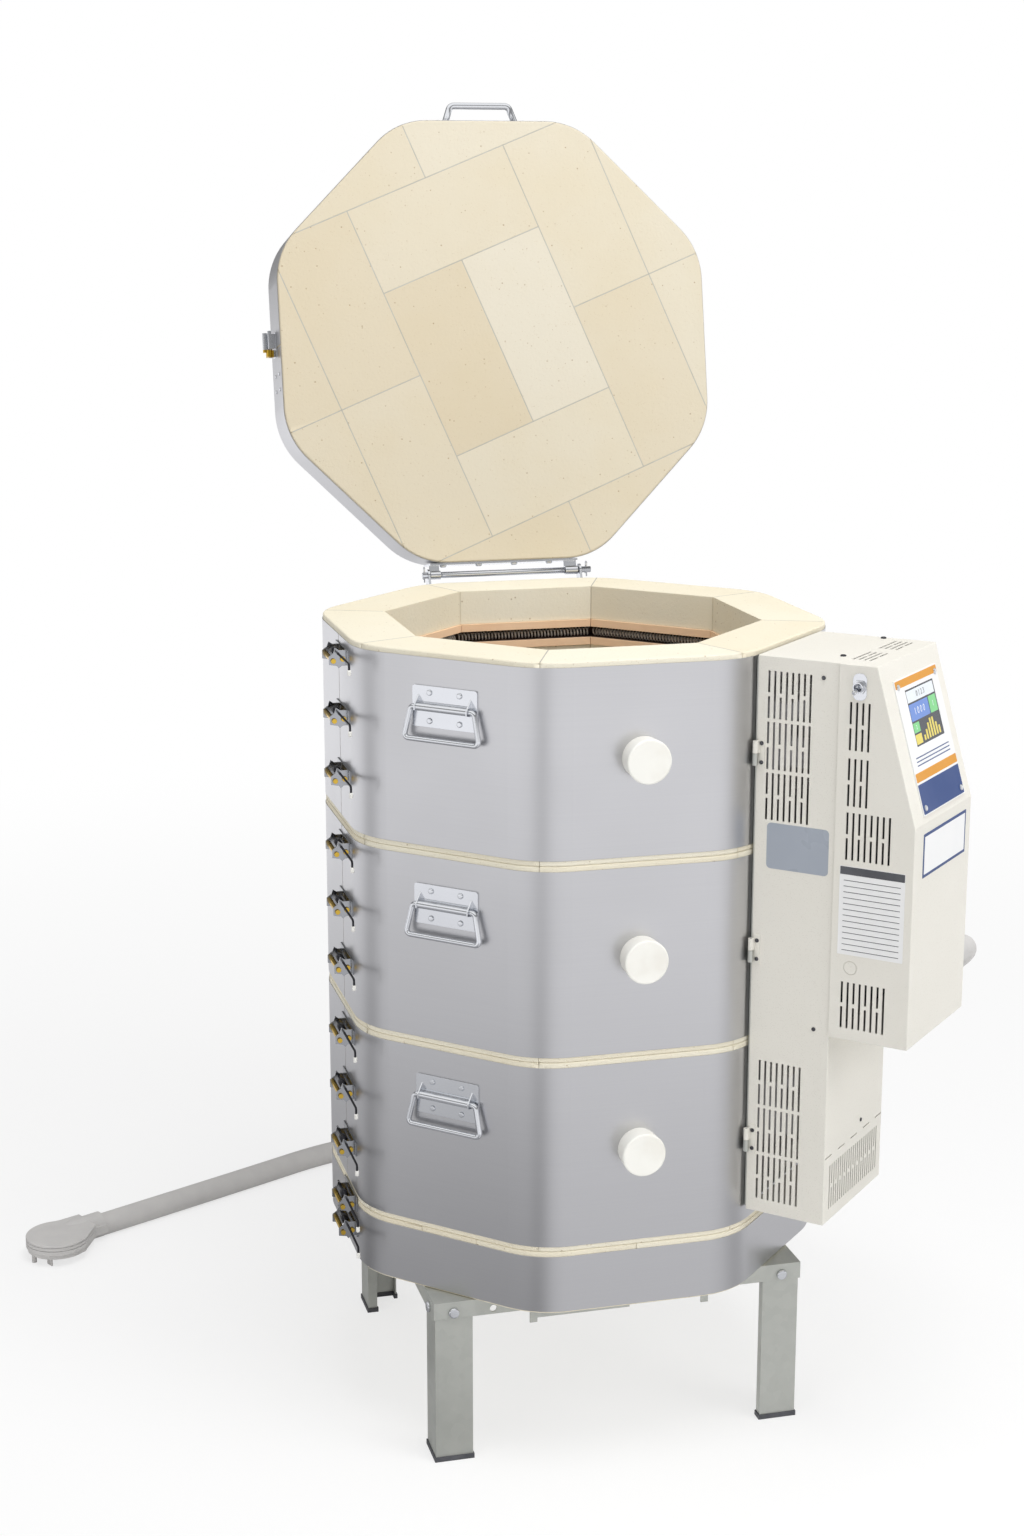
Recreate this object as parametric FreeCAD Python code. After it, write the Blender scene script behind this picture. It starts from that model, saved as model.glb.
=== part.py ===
import FreeCAD, Part
import math
import os
from FreeCAD import Vector

# Ceramic kiln with a stand, three brick sections, a lid that opens on a rear hinge,
# and an element box and control box that swing out on the front right face.
# Millimetres, +Z up, origin on the kiln's axis at the floor, front face towards -Y.
os.makedirs("parts", exist_ok=True)

# Firebrick and section sizes
BRICK_LENGTH = 228.6
BRICK_WIDTH = 114.3
BRICK_THICK = 76.2
BRICK_JOINT = 0.4
BRICK_EDGE = 2.0
SECTION_COUNT = 3
SECTION_HEIGHT = BRICK_LENGTH
INNER_APOTHEM = 210.0
OUTER_APOTHEM = INNER_APOTHEM + BRICK_THICK
SIDES = 8
TURN = 360.0 / SIDES
HALF_TURN = math.radians(TURN / 2)

# Steel jackets
JACKET_THICK = 0.8
JACKET_APOTHEM = OUTER_APOTHEM + JACKET_THICK
CORNER_RADIUS = 95.0
JACKET_MARGIN = 6.2
FLOOR_JACKET_LOW = 2.2
SEAM_GAP = 2.5
SEAM_T = 18.0

# Stand
STAND_HEIGHT = 203.2
STAND_HALF = 225.0
STAND_STEEL = 2.0
LEG_FLANGE = 45.0
LEG_LIP = 12.0
FRAME_DEPTH = 20.5
FRAME_TOP_WIDTH = 34.0
CAP_HEIGHT = 6.0
CAP_WALL = 1.4
CAP_FLOOR = 1.5
BRACE_WIDTH = 9.0
BRACE_DROP = 18.0
BRACE_PLACES = (-110.5, 101.5)
LEDGE_END = 12.0
LEDGE_DROP = 26.0
LEDGE_DEPTH = 7.0
BOLT_HEAD_RADIUS = 6.5
BOLT_HEAD_HEIGHT = 3.5
BOLT_SHANK_RADIUS = 4.0
BOLT_HOLE_RADIUS = 4.2
BOLT_INSET = 22.0
BOLT_DROP = 13.5

# Heights that follow from the stack
FLOOR_BOTTOM = STAND_HEIGHT
FLOOR_TOP = FLOOR_BOTTOM + BRICK_THICK
RIM = FLOOR_TOP + SECTION_COUNT * SECTION_HEIGHT

# Element holders and heating elements
ROW_DROPS = (59.0, 170.0)
HOLDER_HEIGHT = 33.0
HOLDER_DEPTH = 20.0
HOLDER_PROUD = 3.0
HOLDER_MOUTH = 14.0
HOLDER_WALL = 3.5
ELEMENT_RADIUS = 5.6
HOLDER_GAP = 0.5

# Peephole plugs
PEEP_DROP = 110.0
PLUG_HEAD_RADIUS = 25.5
PLUG_NECK_RADIUS = 24.0
PLUG_HEAD_LENGTH = 25.0
PLUG_EDGE = 2.0
PLUG_SHANK_LENGTH = 60.0
PLUG_SHANK_RADIUS = 19.0
PLUG_TIP_RADIUS = 15.0
PLUG_CLEARANCE = 0.6

# Drop handles
HANDLE_FACES = (-45.0, 135.0)
HANDLE_DROP = 61.5
HANDLE_PLATE_WIDTH = 84.0
HANDLE_PLATE_HEIGHT = 47.0
HANDLE_PLATE_THICK = 1.6
HANDLE_PLATE_CORNER = 3.0
HANDLE_AXIS_OUT = 4.6
HANDLE_TUNNEL_RADIUS = 4.4
HANDLE_TUNNEL_LENGTH = 66.0
HANDLE_SCREW_T = 19.5
HANDLE_SCREW_UP = 16.0
BAIL_RADIUS = 3.1
BAIL_CLEARANCE = 0.08
BAIL_TOP_HALF = 41.0
BAIL_BOTTOM_HALF = 49.0
BAIL_DROP = 36.0
BAIL_LEAN = 3.0
EAR_THICK = 1.6
SCREW_HEAD_RADIUS = 3.4
SCREW_HEAD_HEIGHT = 1.8
SCREW_SHANK_RADIUS = 1.7
SCREW_LENGTH = 9.0
RIVET_RADIUS = 2.4
RIVET_HEIGHT = 1.2

# Jacket clamps on the left face
CLAMP_DROPS = (19.0, 89.0, 160.0)
FLOOR_CLAMP_DROPS = (2.4, 35.4)
CLAMP_LOW_T = 30.0
CLAMP_HIGH_T = 74.0
CLAMP_BASE_LOW_T = 6.0
CLAMP_BASE_HIGH_T = 80.0
CLAMP_STEEL = 1.6
CLAMP_DEPTH = 22.0
CLAMP_BELOW = 14.0
CLAMP_ABOVE = 4.0
CLAMP_ROD_OUT = 11.0
CLAMP_ROD_RADIUS = 1.3
CLAMP_ROD_CLEARANCE = 0.06
CLAMP_ROD_LOW_T = 14.0
CLAMP_ROD_HIGH_T = 139.0
CLAMP_ROD_BEND = 11.0
CLAMP_TIP_RADIUS = 1.7
CLAMP_HUB_RADIUS = 4.2
CLAMP_HUB_T = (46.0, 58.0)
BARREL_RADIUS = 2.9
BARREL_OUTER = (17.0, -8.1)
BARREL_INNER = (6.0, -6.2)
BARREL_PROUD = 2.5

# Lid and its hinge
LID_THICK = BRICK_THICK
LID_OPEN_ANGLE = 101.5
LID_BAND_MARGIN = 3.0
LID_TURN = 22.02
HINGE_OUT = 15.2
HINGE_UP = 7.8
HINGE_ROD_RADIUS = 4.0
HINGE_CLEARANCE = 0.06
SLEEVE_WALL = 1.6
SLEEVE_LEFT = (-105.0, -91.5)
SLEEVE_RIGHT = (78.0, 95.0)
HINGE_ROD_ENDS = (-115.0, 113.0)
HINGE_PLATE_THICK = 2.5
HINGE_PLATE_HEIGHT = 40.0
HINGE_SCREWS_X = (-86.0, -38.0, 10.0, 58.0)
HINGE_SCREW_RISE = 12.0
HINGE_SCREW_HEAD_RADIUS = 4.6
HINGE_SCREW_HEAD_HEIGHT = 3.0
BRACKET_STEEL = 2.8
BRACKET_GAP = 1.2
BRACKET_EAR_RADIUS = 8.0
BRACKET_LOW = 60.0
BRACKET_TOP_DROP = 8.0
CLIP_WIRE_RADIUS = 0.9
CLIP_OFFSET = 5.0
CLIP_LOOP_RADIUS = 3.2

# Lid lift handle and band clamp
LIFT_X = -4.0
LIFT_FOOT_HALF = 47.0
LIFT_TOP_HALF = 39.0
LIFT_OUT = 27.0
LIFT_RADIUS = 4.3
LIFT_RISE = 20.0
LIFT_SCREW_HALF = 57.0
LIFT_PAD_THICK = 2.0
LIFT_PAD_HALF_WIDTH = 6.5
BAND_CLAMP_T = (-12.0, 20.0)
BAND_CLAMP_OUT = 11.0
BAND_CLAMP_RISE = 40.0
BAND_CLAMP_HALF = 12.0
BAND_LUG_EDGE = 2.5
BAND_BOLT_OUT = 7.4
BAND_BOLT_RADIUS = 2.4
BAND_BARREL_OUT = 13.5
BAND_BARREL_RADIUS = 3.2
BAND_NUT_THICK = 9.0
LOBE_COUNT = 3
LOBE_RADIUS = 3.2
LOBE_REACH = 3.6
BAND_RIVET_T = (-35.0, -55.0)
BAND_RIVET_RISES = (20.0, 50.0)

# Element box and control box on the front right face
BOX_FACE = 45.0
COVER_T = (-95.0, 78.0)
COVER_N = (290.0, 387.0)
COVER_Z = (FLOOR_TOP + 22.0, RIM - 4.7)
BOX_STEEL = 1.2
BOX_BEND = 1.0
FRAME_THICK = 2.6
FRAME_WIDTH = 22.0
FRAME_INSET = 3.0
HOUSING_T = (-97.0, 79.0)
HOUSING_TOP_N = 431.0
HOUSING_FRONT_N = 481.0
HOUSING_KNEE_Z = RIM - 179.2
HOUSING_LOW_Z = RIM - 433.2
BOX_HINGE_T = -101.0
BOX_HINGE_N = 291.0
BOX_HINGE_HEIGHTS = (RIM - 115.2, RIM - 345.2, RIM - 575.2)
TOP_SCREW_PLACES = ((374.0, -56.0), (371.0, 70.0))
SIDE_SCREW_PLACES = ((368.0, RIM - 23.2), (368.5, RIM - 428.2))
FRONT_SCREW = (11.2, FLOOR_TOP + 116.2)
LEAF_SCREW_N = 296.5
LEAF_SCREW_RISE = 11.0
LEAF_THICK = 1.2
KNUCKLE_RADIUS = 3.0
KNUCKLE_LENGTH = 14.0
KNUCKLE_GAP = 0.5
PIN_RADIUS = 1.5
PIN_CLEARANCE = 0.05
LEAF_HEIGHT = 36.0

# Vent slots
SLOT_PITCH = 7.1
SLOT_WIDTH = 2.5
SLOT_LENGTH = 54.0
SLOT_ROW = 58.0
SLOT_BRIDGE = 4.5
COVER_VENT_COLUMN_COUNT = 8
COVER_VENT_ROW_COUNT = 3
COVER_VENT_N = 302.0
COVER_VENT_TOPS = (RIM - 21.2, FLOOR_TOP + 208.6)
HOUSING_VENT_COLUMN_COUNTS = (4, 4, 8, 8)
HOUSING_VENT_N = 400.5
HOUSING_VENT_TOPS = (RIM - 46.2, RIM - 109.2, RIM - 170.2, RIM - 365.2)
FRONT_VENT_COLUMN_COUNT = 23
FRONT_VENT_T = -79.5
FRONT_VENT_PITCH = 6.41
FRONT_VENT_TOP = FLOOR_TOP + 90.6
FOLD_SLOT_COUNT = 5
FOLD_SLOT_MARGIN = 1.5
FOLD_SLOT_LENGTH = 19.0
FOLD_SLOT_PITCH = 37.8
FOLD_SLOT_LOW = FLOOR_TOP + 102.0
FOLD_SLOT_WIDTH = 1.4
TOP_VENT_ROW_COUNT = 4
TOP_VENT_T = (-67.5, 8.5)
TOP_VENT_LENGTH = 52.0
TOP_VENT_MARGIN = 2.0
TOP_VENT_PITCH = 6.5
KNOCK_OUT = (411.0, RIM - 348.0)
KNOCK_OUT_RADIUS = 8.0
KNOCK_OUT_GROOVE = 0.8
KNOCK_OUT_DEPTH = 0.5

# Touch panel on the sloped front
PANEL_T = (-68.5, 58.5)
PANEL_DOWN = (21.7, 173.6)
PANEL_THICK = 1.6
SCREEN_T = (-44.0, 40.0)
SCREEN_DOWN = (36.0, 100.0)
SCREEN_RECESS = 0.6
PANEL_SCREW_INSET = 8.0

# Toggle switch on the control box's left wall
SWITCH_N = 411.5
SWITCH_Z = RIM - 28.6
SWITCH_BUSH_RADIUS = 6.0
SWITCH_BUSH_LENGTH = 7.0
SWITCH_NUT_RADIUS = 8.0
SWITCH_NUT_THICK = 2.6
SWITCH_BODY = (16.0, 24.0, 26.0)
SWITCH_PIVOT_OUT = 1.0
SWITCH_DRUM_RADIUS = 2.4
SWITCH_DRUM_HALF = 3.2
SWITCH_DRUM_CLEARANCE = 0.3
SWITCH_MOUTH_RADIUS = 4.6
SWITCH_LEVER_LENGTH = 17.0
SWITCH_LEVER_NECK = 1.5
SWITCH_LEVER_END = 2.6
SWITCH_TILT = 13.0

# Strain relief, power cord and plug
GLAND_N = 437.0
GLAND_Z = RIM - 388.2
GLAND_FLANGE_RADIUS = 24.0
GLAND_WASHER_THICK = 2.0
GLAND_NUT_THICK = 7.0
GLAND_END_RADIUS = 18.0
GLAND_LENGTH = 28.0
GLAND_RIB_COUNT = 4
GLAND_RIB_PITCH = 4.2
GLAND_GROOVE_WIDTH = 1.8
GLAND_GROOVE_RADIUS = 17.2
CORD_RADIUS = 16.0
PRONG_LENGTH = 12.0
PLUG_BODY_HEIGHT = 21.0
PLUG_HEAD_REACH = 80.0
PLUG_HEAD_SHIFT = 18.0
PLUG_BODY_RADIUS = 44.0
PLUG_STEPS = ((0.0, 6.0, 2.2), (6.0, 12.0, 0.0), (12.0, 12.8, 1.0), (12.8, 17.0, 0.0), (17.0, 17.8, 1.0))
PLUG_TOP_EDGE = 1.6
PLUG_COLLAR_RADIUS = 18.0
PLUG_COLLAR_LENGTH = 42.0
PLUG_COLLAR_TAPER = 24.0
PLUG_FIN_HALF = 21.5
PLUG_FIN_LENGTH = 26.0

# Inner pieces
TERMINAL_HALF_T = 30.0
TERMINAL_HALF_Z = 11.0
TERMINAL_OUT = 16.0
TAIL_T = 18.0
TAIL_RADIUS = 2.6
TAIL_CLEARANCE = 0.6
STUD_RADIUS = 2.4
STUD_OUT = 10.0
THERMO_T = 40.0
THERMO_DROP = 114.3
THERMO_RADIUS = 4.0
THERMO_REACH = 20.0
THERMO_CLEARANCE = 0.6
RELAY_SIZE = (38.0, 34.0, 46.0)
RELAY_PLACES = (-62.0, -9.0, 44.0)
RELAY_Z = RIM - 365.2
TRANSFORMER_SIZE = (52.0, 40.0, 46.0)
TRANSFORMER_Z = RIM - 275.2
BOARD_MARGIN = 10.0
BOARD_THICK = 1.6
BOARD_STANDOFF = 14.0

HINGE_Y = JACKET_APOTHEM + HINGE_OUT
HINGE_Z = RIM + HINGE_UP


def box(x0, x1, y0, y1, z0, z1):
    """A box between two corners."""
    return Part.makeBox(x1 - x0, y1 - y0, z1 - z0, Vector(x0, y0, z0))


def cylinder(radius, start, end):
    """A round bar from start to end."""
    start = Vector(*start)
    along = Vector(*end) - start
    return Part.makeCylinder(radius, along.Length, start, along)


def cone(radius_start, radius_end, start, end):
    """A tapered round bar from start to end."""
    start = Vector(*start)
    along = Vector(*end) - start
    return Part.makeCone(radius_start, radius_end, along.Length, start, along)


def turned(shape, angle):
    """The shape turned about the kiln's axis."""
    copy = shape.copy()
    copy.rotate(Vector(0, 0, 0), Vector(0, 0, 1), angle)
    return copy


def prism(points, direction):
    """A flat outline pulled along a direction."""
    wire = Part.makePolygon([Vector(*p) for p in points] + [Vector(*points[0])])
    return Part.Face(wire).extrude(Vector(*direction))


def group(shapes):
    """Separate solids kept together in one node."""
    solids = []
    for shape in shapes:
        solids.extend(shape.Solids)
    return Part.makeCompound(solids)


def save(name, shape):
    shape.exportStep("parts/%s.step" % name)
    volume = sum(solid.Volume for solid in shape.Solids)
    print("%-24s %3d solids %12.0f mm3" % (name, len(shape.Solids), volume))


def fused(shapes):
    """One solid made from pieces that touch."""
    whole = shapes[0].fuse(shapes[1:])
    return whole.removeSplitter()


# Octagons

def vertex_angle(k):
    return math.radians(TURN * (k + 0.5))


def sharp_octagon(apothem, z0, z1):
    """An octagonal prism with sharp corners."""
    radius = apothem / math.cos(HALF_TURN)
    points = []
    for k in range(SIDES):
        angle = vertex_angle(k)
        points.append((radius * math.cos(angle), radius * math.sin(angle), z0))
    return prism(points, (0, 0, z1 - z0))


def round_octagon(apothem, radius, z0, z1):
    """An octagonal prism whose corners are arcs tangent to its faces."""
    centre_distance = (apothem - radius) / math.cos(HALF_TURN)
    arcs = []
    for k in range(SIDES):
        angle = vertex_angle(k)
        centre = Vector(centre_distance * math.cos(angle), centre_distance * math.sin(angle), z0)
        ends = []
        for offset in (-HALF_TURN, 0.0, HALF_TURN):
            reach = Vector(math.cos(angle + offset), math.sin(angle + offset), 0) * radius
            ends.append(centre + reach)
        arcs.append(ends)
    edges = []
    for k in range(SIDES):
        edges.append(Part.Arc(*arcs[k]).toShape())
        edges.append(Part.LineSegment(arcs[k][2], arcs[(k + 1) % SIDES][0]).toShape())
    return Part.Face(Part.Wire(edges)).extrude(Vector(0, 0, z1 - z0))


def softened_octagon(z0, z1):
    """The bricks' outline between two heights, its outer edges rounded."""
    outline = round_octagon(OUTER_APOTHEM, CORNER_RADIUS - JACKET_THICK, z0, z1)
    rims = [e for e in outline.Edges if e.BoundBox.ZLength < 0.01]
    return outline.makeFillet(BRICK_EDGE, rims)


def corner_saws(z0, z1):
    """Thin radial slabs at the eight corners, which part the bricks of a ring."""
    saws = []
    reach = JACKET_APOTHEM * 1.2
    for k in range(SIDES):
        slab = box(INNER_APOTHEM * 0.9, reach, -BRICK_JOINT / 2, BRICK_JOINT / 2, z0, z1)
        saws.append(turned(slab, TURN * (k + 0.5)))
    return saws


def section_top(k):
    """Height of the top of section k, counted from the rim down."""
    return RIM - k * SECTION_HEIGHT


def row_heights():
    heights = []
    for k in range(SECTION_COUNT):
        for drop in ROW_DROPS:
            heights.append(section_top(k) - drop)
    return heights


# Stand

def stand_leg():
    """Lipped angle with its outer corner at the origin, flanges along +X and +Y."""
    a = LEG_FLANGE
    s = STAND_STEEL
    lip = LEG_LIP
    points = [(0, 0), (a, 0), (a, lip), (a - s, lip), (a - s, s), (s, s),
              (s, a - s), (lip, a - s), (lip, a), (0, a)]
    low = CAP_FLOOR
    high = STAND_HEIGHT - STAND_STEEL
    leg = prism([(x, y, low) for x, y in points], (0, 0, high - low))
    z = STAND_HEIGHT - BOLT_DROP
    leg = leg.cut(cylinder(BOLT_HOLE_RADIUS, (BOLT_INSET, -1, z), (BOLT_INSET, s + 1, z)))
    leg = leg.cut(cylinder(BOLT_HOLE_RADIUS, (-1, BOLT_INSET, z), (s + 1, BOLT_INSET, z)))
    return leg


def leg_cap():
    """Dark trim cap that follows the leg's section."""
    a = LEG_FLANGE
    s = STAND_STEEL
    w = CAP_WALL
    lip = LEG_LIP
    outer = [(-w, -w), (a + w, -w), (a + w, lip + w), (a - s - w, lip + w), (a - s - w, s + w),
             (s + w, s + w), (s + w, a - s - w), (lip + w, a - s - w), (lip + w, a + w), (-w, a + w)]
    cap = prism([(x, y, 0) for x, y in outer], (0, 0, CAP_HEIGHT))
    inner = [(0, 0), (a, 0), (a, lip), (a - s, lip), (a - s, s), (s, s),
             (s, a - s), (lip, a - s), (lip, a), (0, a)]
    pocket = prism([(x, y, CAP_FLOOR) for x, y in inner], (0, 0, CAP_HEIGHT))
    return cap.cut(pocket)


def at_four_corners(shape):
    copies = []
    for k in range(4):
        copy = shape.copy()
        copy.translate(Vector(-STAND_HALF, -STAND_HALF, 0))
        copies.append(turned(copy, 90.0 * k))
    return copies


def stand_frame():
    """Square top frame of folded angle, with two cross bars hooked under it."""
    outer = STAND_HALF + STAND_STEEL
    low = STAND_HEIGHT - FRAME_DEPTH
    frame = box(-outer, outer, -outer, outer, low, STAND_HEIGHT)
    inside = STAND_HALF
    under = STAND_HEIGHT - STAND_STEEL
    frame = frame.cut(box(-inside, inside, -inside, inside, low - 1, under))
    window = outer - FRAME_TOP_WIDTH
    frame = frame.cut(box(-window, window, -window, window, low, STAND_HEIGHT + 1))
    z = STAND_HEIGHT - BOLT_DROP
    for k in range(4):
        for place in (BOLT_INSET - STAND_HALF, STAND_HALF - BOLT_INSET):
            hole = cylinder(BOLT_HOLE_RADIUS, (place, -outer - 1, z), (place, -inside + 1, z))
            frame = frame.cut(turned(hole, 90.0 * k))
    peg_hole = cylinder(BOLT_HOLE_RADIUS, (BRACE_PLACES[0] - 45, -outer - 1, z),
                        (BRACE_PLACES[0] - 45, -inside + 1, z))
    frame = frame.cut(peg_hole)
    pieces = [frame]
    left, right = BRACE_PLACES
    ledge_top = STAND_HEIGHT - LEDGE_DROP
    ledge = box(left + BRACE_WIDTH / 2, LEDGE_END, -inside, -inside + STAND_STEEL, ledge_top - LEDGE_DEPTH, ledge_top)
    pieces.append(fused([cross_bar(left), ledge]))
    pieces.append(cross_bar(right))
    return group(pieces)


def cross_bar(place):
    """Angle bar under the top flange, its front end folded down inside the frame."""
    half = STAND_HALF
    top = STAND_HEIGHT - STAND_STEEL
    low = STAND_HEIGHT - FRAME_DEPTH - BRACE_DROP
    flat = box(place, place + BRACE_WIDTH, -half, half, top - STAND_STEEL, top)
    front = box(place, place + BRACE_WIDTH, -half, -half + STAND_STEEL, low, top)
    back = box(place, place + BRACE_WIDTH, half - STAND_STEEL, half, low, top)
    return fused([flat, front, back])


def stand_bolt():
    """Round-headed bolt through the frame and the leg, with its nut inside."""
    y = -STAND_HALF - STAND_STEEL
    inside = -STAND_HALF + STAND_STEEL
    z = STAND_HEIGHT - BOLT_DROP
    x = BOLT_INSET - STAND_HALF
    head = cylinder(BOLT_HEAD_RADIUS, (x, y - BOLT_HEAD_HEIGHT, z), (x, y, z))
    head = head.makeFillet(BOLT_HEAD_HEIGHT * 0.6, [head.Edges[e] for e in outer_rim(head, y - BOLT_HEAD_HEIGHT)])
    shank = cylinder(BOLT_SHANK_RADIUS, (x, y, z), (x, inside + 5.0, z))
    nut = cylinder(BOLT_HEAD_RADIUS, (x, inside, z), (x, inside + 4.0, z))
    return fused([head, shank, nut])


def outer_rim(shape, y):
    """Indices of the closed edges that lie in the plane of the given y."""
    found = []
    for index, edge in enumerate(shape.Edges):
        if edge.isClosed() and abs(edge.BoundBox.YMin - y) < 0.01 and abs(edge.BoundBox.YMax - y) < 0.01:
            found.append(index)
    return found


def stand_bolts():
    bolts = []
    for k in range(4):
        left = turned(stand_bolt(), 90.0 * k)
        bolts.append(left)
        right = stand_bolt()
        right.translate(Vector(2 * (STAND_HALF - BOLT_INSET), 0, 0))
        bolts.append(turned(right, 90.0 * k))
    return bolts


# Brick slabs and rings

def slab_layout():
    """Brick outlines of the slab in half-brick units, as low x, low y, high x, high y."""
    return [(-1, -1, 0, 1), (0, -1, 1, 1), (-1, -2, 1, -1), (-1, 1, 1, 2),
            (-2, -2, -1, 0), (-2, 0, -1, 2), (1, -2, 2, 0), (1, 0, 2, 2),
            (-2, -3, 0, -2), (0, -3, 2, -2), (-2, 2, 0, 3), (0, 2, 2, 3),
            (-3, -2, -2, 0), (-3, 0, -2, 2), (2, -2, 3, 0), (2, 0, 3, 2)]


def brick_slab(z0, z1, angle):
    """Octagonal slab of bricks with fine joints between them."""
    outline = softened_octagon(z0, z1)
    gap = BRICK_JOINT / 2
    bricks = []
    for x0, y0, x1, y1 in slab_layout():
        brick = box(x0 * BRICK_WIDTH + gap, x1 * BRICK_WIDTH - gap,
                    y0 * BRICK_WIDTH + gap, y1 * BRICK_WIDTH - gap, z0, z1)
        bricks.append(turned(brick, angle).common(outline))
    return group(bricks)


def box_face_holes(k):
    """Holes through the wall for element tails and the thermocouple of section k."""
    holes = []
    for drop in ROW_DROPS:
        z = section_top(k) - drop
        for side in (-TAIL_T, TAIL_T):
            radius = TAIL_RADIUS + TAIL_CLEARANCE
            holes.append(cylinder(radius, (side, -INNER_APOTHEM, z), (side, -JACKET_APOTHEM - 1, z)))
    z = section_top(k) - THERMO_DROP
    radius = THERMO_RADIUS + THERMO_CLEARANCE
    holes.append(cylinder(radius, (THERMO_T, -INNER_APOTHEM + 5, z), (THERMO_T, -JACKET_APOTHEM - 1, z)))
    return [turned(hole, BOX_FACE) for hole in holes]


def peephole(k):
    """Tapered hole for the peephole plug of section k, through the whole wall."""
    z = section_top(k) - PEEP_DROP
    slope = (PLUG_SHANK_RADIUS - PLUG_TIP_RADIUS) / PLUG_SHANK_LENGTH
    outer = PLUG_SHANK_RADIUS + PLUG_CLEARANCE
    depth = BRICK_THICK + JACKET_THICK + 2.0
    start = (0, -JACKET_APOTHEM, z)
    end = (0, -JACKET_APOTHEM + depth, z)
    return cone(outer, outer - slope * depth, start, end)


def section_bricks(k):
    """Eight mitred bricks, grooved for the element holders."""
    top = section_top(k)
    low = top - SECTION_HEIGHT
    ring = softened_octagon(low, top)
    ring = ring.cut(sharp_octagon(INNER_APOTHEM, low - 1, top + 1))
    for drop in ROW_DROPS:
        z = top - drop
        groove = sharp_octagon(INNER_APOTHEM + HOLDER_DEPTH, z - HOLDER_HEIGHT / 2, z + HOLDER_HEIGHT / 2)
        ring = ring.cut(groove)
    ring = ring.cut([peephole(k)] + box_face_holes(k))
    return group([ring.cut(corner_saws(low - 1, top + 1))])


def section_jacket(k):
    """Thin steel wrap with rounded corners, open at its seam."""
    top = section_top(k) - JACKET_MARGIN
    low = section_top(k + 1) + JACKET_MARGIN
    wrap = jacket(low, top)
    z = section_top(k) - PEEP_DROP
    radius = PLUG_SHANK_RADIUS + PLUG_CLEARANCE + 0.5
    wrap = wrap.cut(cylinder(radius, (0, -JACKET_APOTHEM - 1, z), (0, -OUTER_APOTHEM + 1, z)))
    return wrap.cut(box_face_holes(k))


def jacket(low, high):
    wrap = round_octagon(JACKET_APOTHEM, CORNER_RADIUS, low, high)
    wrap = wrap.cut(round_octagon(OUTER_APOTHEM, CORNER_RADIUS - JACKET_THICK, low - 1, high + 1))
    seam = box(SEAM_T - SEAM_GAP / 2, SEAM_T + SEAM_GAP / 2,
               -JACKET_APOTHEM - 1, -OUTER_APOTHEM + 1, low - 1, high + 1)
    return wrap.cut(turned(seam, -90))


def floor_jacket():
    return jacket(FLOOR_BOTTOM + FLOOR_JACKET_LOW, FLOOR_TOP - JACKET_MARGIN)


def element_holders():
    """Ceramic channels in both rows of each section, one along each side."""
    pieces = []
    for z in row_heights():
        low = z - HOLDER_HEIGHT / 2
        high = z + HOLDER_HEIGHT / 2
        ring = sharp_octagon(INNER_APOTHEM + HOLDER_DEPTH, low, high)
        ring = ring.cut(sharp_octagon(INNER_APOTHEM - HOLDER_PROUD, low - 1, high + 1))
        cavity = sharp_octagon(INNER_APOTHEM + HOLDER_DEPTH - HOLDER_WALL,
                               z - HOLDER_MOUTH / 2, z + HOLDER_MOUTH / 2)
        ring = ring.cut(cavity)
        tails = []
        for side in (-TAIL_T, TAIL_T):
            radius = TAIL_RADIUS + TAIL_CLEARANCE
            tails.append(turned(cylinder(radius, (side, -INNER_APOTHEM, z), (side, -JACKET_APOTHEM, z)), BOX_FACE))
        saws = []
        for k in range(SIDES):
            slab = box(INNER_APOTHEM * 0.9, JACKET_APOTHEM, -HOLDER_GAP / 2, HOLDER_GAP / 2, low - 1, high + 1)
            saws.append(turned(slab, TURN * (k + 0.5)))
        pieces.append(ring.cut(saws + tails))
    return group(pieces)


def element_apothem():
    """Distance of the coil's centre line from the axis, resting on the holder's back wall."""
    return INNER_APOTHEM + HOLDER_DEPTH - HOLDER_WALL - ELEMENT_RADIUS


def heating_elements():
    """Outer envelope of each wire coil, one octagonal ring to a row."""
    rings = []
    reach = element_apothem()
    for z in row_heights():
        z = z - HOLDER_MOUTH / 2 + ELEMENT_RADIUS
        bars = []
        length = reach * math.tan(HALF_TURN)
        for k in range(SIDES):
            bar = cylinder(ELEMENT_RADIUS, (-length, -reach, z), (length, -reach, z))
            bars.append(turned(bar, TURN * k))
            radius = reach / math.cos(HALF_TURN)
            angle = vertex_angle(k)
            bars.append(Part.makeSphere(ELEMENT_RADIUS, Vector(radius * math.cos(angle), radius * math.sin(angle), z)))
        rings.append(bars[0].fuse(bars[1:]))
    return group(rings)


# Peephole plugs

def peephole_plug(k):
    """Ceramic plug with a flared head and a tapered shank."""
    z = section_top(k) - PEEP_DROP
    face = -JACKET_APOTHEM - PLUG_HEAD_LENGTH
    head = cone(PLUG_NECK_RADIUS, PLUG_HEAD_RADIUS, (0, -JACKET_APOTHEM, z), (0, face, z))
    head = head.makeFillet(PLUG_EDGE, [head.Edges[e] for e in outer_rim(head, face)])
    shank = cone(PLUG_SHANK_RADIUS, PLUG_TIP_RADIUS,
                 (0, -JACKET_APOTHEM, z), (0, -JACKET_APOTHEM + PLUG_SHANK_LENGTH, z))
    return fused([head, shank])


# Drop handles

def handle_height(k):
    """Height of the bail's axis on section k."""
    return section_top(k) - HANDLE_DROP


def bail_axis_n():
    return JACKET_APOTHEM + HANDLE_PLATE_THICK + HANDLE_AXIS_OUT


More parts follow.
